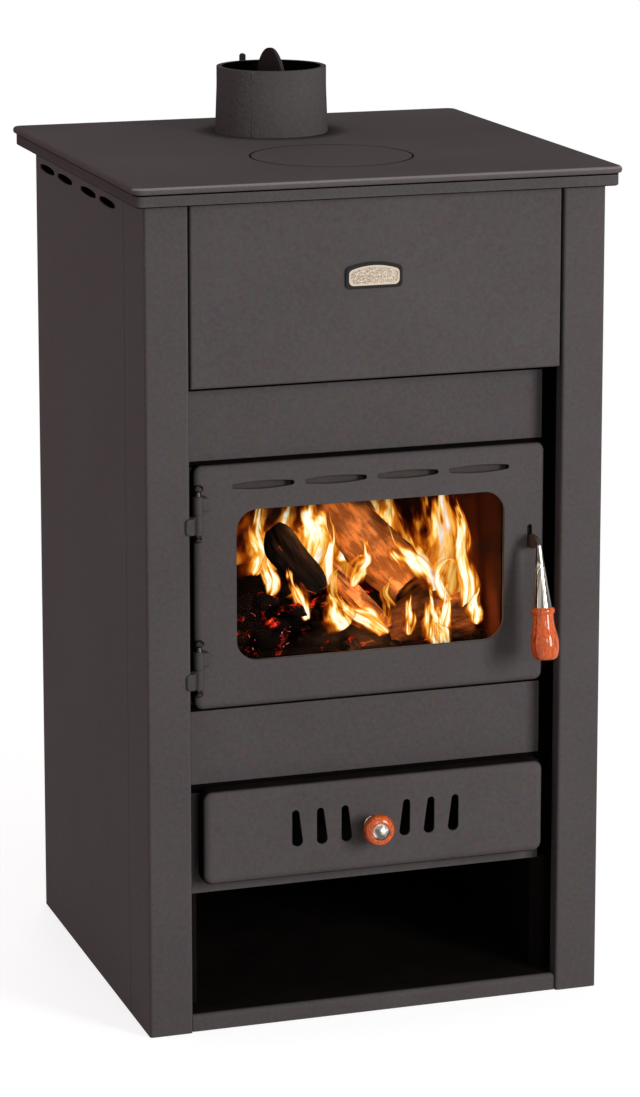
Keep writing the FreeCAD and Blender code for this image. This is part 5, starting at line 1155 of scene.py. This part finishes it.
class STOVE_OT_fasteners(StoveOperator):
    """Finishes the screws and the bolts"""
    bl_idname = "stove.fasteners"
    bl_label = "Fasteners"

    def execute(self, context):
        zinc = drawn_steel("zinc_plated_screws", linear("#8A8783"), spacing=0.9, stretch=(1.0, 1.0, 1.0))
        finish(zinc, "back_screws", "clip_screws", "collar_bolts")
        return {"FINISHED"}


class STOVE_OT_ember_bed(StoveOperator):
    """Lays the bed of ash and glowing coals on the grate"""
    bl_idname = "stove.ember_bed"
    bl_label = "Ember bed"

    def execute(self, context):
        fire = context.scene.stove_fire
        coal = glowing_charcoal("glowing_charcoal", fire.ember_strength)
        ember_bed("ember_bed", fire.bed_height, coal)
        for name, share, *heap in HEAPS:
            coals(name, round(fire.embers * share), *heap, coal)
        spark = flying_spark("flying_spark", fire.ember_strength)
        sparks("sparks", count=16, seed=5, material=spark)
        return {"FINISHED"}


class STOVE_OT_logs(StoveOperator):
    """Stacks the burning logs on the ember bed"""
    bl_idname = "stove.logs"
    bl_label = "Logs"

    def execute(self, context):
        glow = context.scene.stove_fire.ember_strength
        kinds = {}
        for kind, name, dark, light, crack, glow_part, glow_share in (
                ("char", "charred_bark", "#060404", "#1A110C", "#FF5A14", 1.0, 0.4),
                # The lit log's pale, warm wood is partly painted firelight
                ("lit", "pale_oak_painted_firelight", "#8A5430", "#D08C54", "#FF5A14", 0.5, 0.2),
                ("hot", "burning_split_oak", "#3E1C0C", "#D08A54", "#FF6A20", 1.0, 0.52),
                ("brown", "split_oak", "#140B06", "#4A2C18", "#FF5A14", 0.4, 0.3)):
            kinds[kind] = burning_wood(name, linear(dark), linear(light), linear(crack), glow * glow_part,
                                       glow_share)
        sawn = sawn_log_end("sawn_log_end", linear("#2A1409"), linear("#8A5A34"))
        for name, ends, radius, seed, flats, kind in LOGS:
            bark = kinds[kind]
            taper, end = (0.55, bark) if kind == "char" else (0.15, sawn)
            log_piece(name, ends, radius * MM, seed, flats, taper, bark, end)
        return {"FINISHED"}


class STOVE_OT_flames(StoveOperator):
    """Sets the flames among the logs and the warm light that they give"""
    bl_idname = "stove.flames"
    bl_label = "Flames"

    def execute(self, context):
        fire = context.scene.stove_fire
        kinds = {
            "full": wood_flame("bright_wood_flame", fire.flame_strength, heat_share=1.0, cover=1.0),
            "veil": wood_flame("orange_flame_veil", fire.flame_strength * 0.9, heat_share=0.58, cover=0.85),
        }
        for index, (route, width, depth, kind) in enumerate(FLAMES):
            flame_sheet("flame_%02d" % (index + 1), route, width, depth, index * 1.37, kinds[kind])
        for index, (place, aim, share) in enumerate(GLOWS):
            area_lamp(context, "fire_glow_%d" % (index + 1), fire.glow_power * share, "#FFBC78", 50 * MM,
                      seen_through(*place), seen_through(*aim))
        return {"FINISHED"}


class STOVE_OT_stage(StoveOperator):
    """Sets the floor, the lamps, the room light and the camera"""
    bl_idname = "stove.stage"
    bl_label = "Studio"

    def execute(self, context):
        studio = context.scene.stove_studio
        self.floor(context, studio.floor_radius)
        self.room(context, studio.sky)
        middle_of_stove = Vector((0, 0, 0.45))
        for name, power, code, size, place, height in (
                ("key_softbox", studio.key_power, "#FFFFFF", 0.8, (1.77, -2.95, 1.2), 1.6),
                ("front_softbox", studio.front_power, "#FFFFFF", 0.7, (0.1, -3.7, 1.5), None),
                ("top_softbox", studio.top_power, "#FFFFFF", 1.8, (-0.2, -0.2, 3.3), None),
                ("fill_softbox", studio.fill_power, "#FFDADF", 2.2, (-3.2, 0.6, 1.2), None),
                ("back_softbox", studio.back_power, "#FFFFFF", 1.6, (0.9, 3.5, 1.6), None)):
            area_lamp(context, name, power, code, size, Vector(place), middle_of_stove, height)
        self.camera(context, studio)
        context.scene.view_settings.view_transform = "Standard"
        return {"FINISHED"}

    def floor(self, context, radius):
        """A round sheet of white paper just under the stove."""
        built = bmesh.new()
        bmesh.ops.create_circle(built, cap_ends=True, segments=96, radius=radius)
        mesh = bpy.data.meshes.new("studio_floor")
        built.to_mesh(mesh)
        built.free()
        mesh.materials.append(studio_paper("white_background_paper"))
        sheet = bpy.data.objects.new("studio_floor", mesh)
        sheet.location.z = -0.5 * MM
        context.scene.collection.objects.link(sheet)

    def room(self, context, sky):
        """Even light from all round, and white where the room itself is seen."""
        world = bpy.data.worlds.new("studio_room")
        world.use_nodes = True
        tree = world.node_tree
        tree.nodes.clear()
        seen = seen_directly(tree)
        even = add(tree, "Background", linear("#FFF6F3"), sky)
        add(tree, "OutputWorld", add(tree, "MixShader", seen, even, add(tree, "Background", WHITE, 1.0)))
        context.scene.world = world

    def camera(self, context, studio):
        """The camera at the photograph's viewing angle."""
        lens = bpy.data.cameras.new("front_camera")
        lens.lens = studio.lens
        lens.shift_y = studio.rise
        lens.clip_end = 100
        camera = bpy.data.objects.new("front_camera", lens)
        camera.location = studio.camera_at
        ahead = Vector((math.sin(studio.azimuth) * math.cos(studio.tilt),
                        math.cos(studio.azimuth) * math.cos(studio.tilt), -math.sin(studio.tilt)))
        camera.rotation_euler = ahead.to_track_quat("-Z", "Y").to_euler()
        context.scene.collection.objects.link(camera)
        context.scene.camera = camera


class STOVE_PT_sidebar(bpy.types.Panel):
    """The stove's settings and operators."""
    bl_label = "Boiler stove"
    bl_idname = "STOVE_PT_sidebar"
    bl_space_type = "VIEW_3D"
    bl_region_type = "UI"
    bl_category = "Stove"

    def draw(self, context):
        for settings in (context.scene.stove_finish, context.scene.stove_fire, context.scene.stove_studio):
            box = self.layout.box()
            for name in settings.__annotations__:
                box.prop(settings, name)
        for operator in OPERATORS:
            self.layout.operator(operator.bl_idname)


SETTINGS = {
    "stove_finish": StoveFinishSettings,
    "stove_fire": StoveFireSettings,
    "stove_studio": StoveStudioSettings,
}
OPERATORS = [
    STOVE_OT_casing, STOVE_OT_wood_bay, STOVE_OT_castings, STOVE_OT_boiler, STOVE_OT_door_fittings,
    STOVE_OT_door_seals, STOVE_OT_handles, STOVE_OT_badge, STOVE_OT_drawer, STOVE_OT_fasteners,
    STOVE_OT_ember_bed, STOVE_OT_logs, STOVE_OT_flames, STOVE_OT_stage,
]


def register():
    """Registers the settings, the operators and the panel."""
    for cls in (*SETTINGS.values(), *OPERATORS, STOVE_PT_sidebar):
        bpy.utils.register_class(cls)
    for name, group in SETTINGS.items():
        setattr(bpy.types.Scene, name, PointerProperty(type=group))


def unregister():
    """Takes them away again."""
    for name in SETTINGS:
        delattr(bpy.types.Scene, name)
    for cls in (STOVE_PT_sidebar, *reversed(OPERATORS), *SETTINGS.values()):
        bpy.utils.unregister_class(cls)


def main():
    """Finishes the stove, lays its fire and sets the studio."""
    register()
    bpy.ops.stove.casing()
    bpy.ops.stove.wood_bay()
    bpy.ops.stove.castings()
    bpy.ops.stove.boiler()
    bpy.ops.stove.door_fittings()
    bpy.ops.stove.door_seals()
    bpy.ops.stove.handles()
    bpy.ops.stove.badge()
    bpy.ops.stove.drawer()
    bpy.ops.stove.fasteners()
    bpy.ops.stove.ember_bed()
    bpy.ops.stove.logs()
    bpy.ops.stove.flames()
    bpy.ops.stove.stage()


if __name__ == "__main__":
    main()
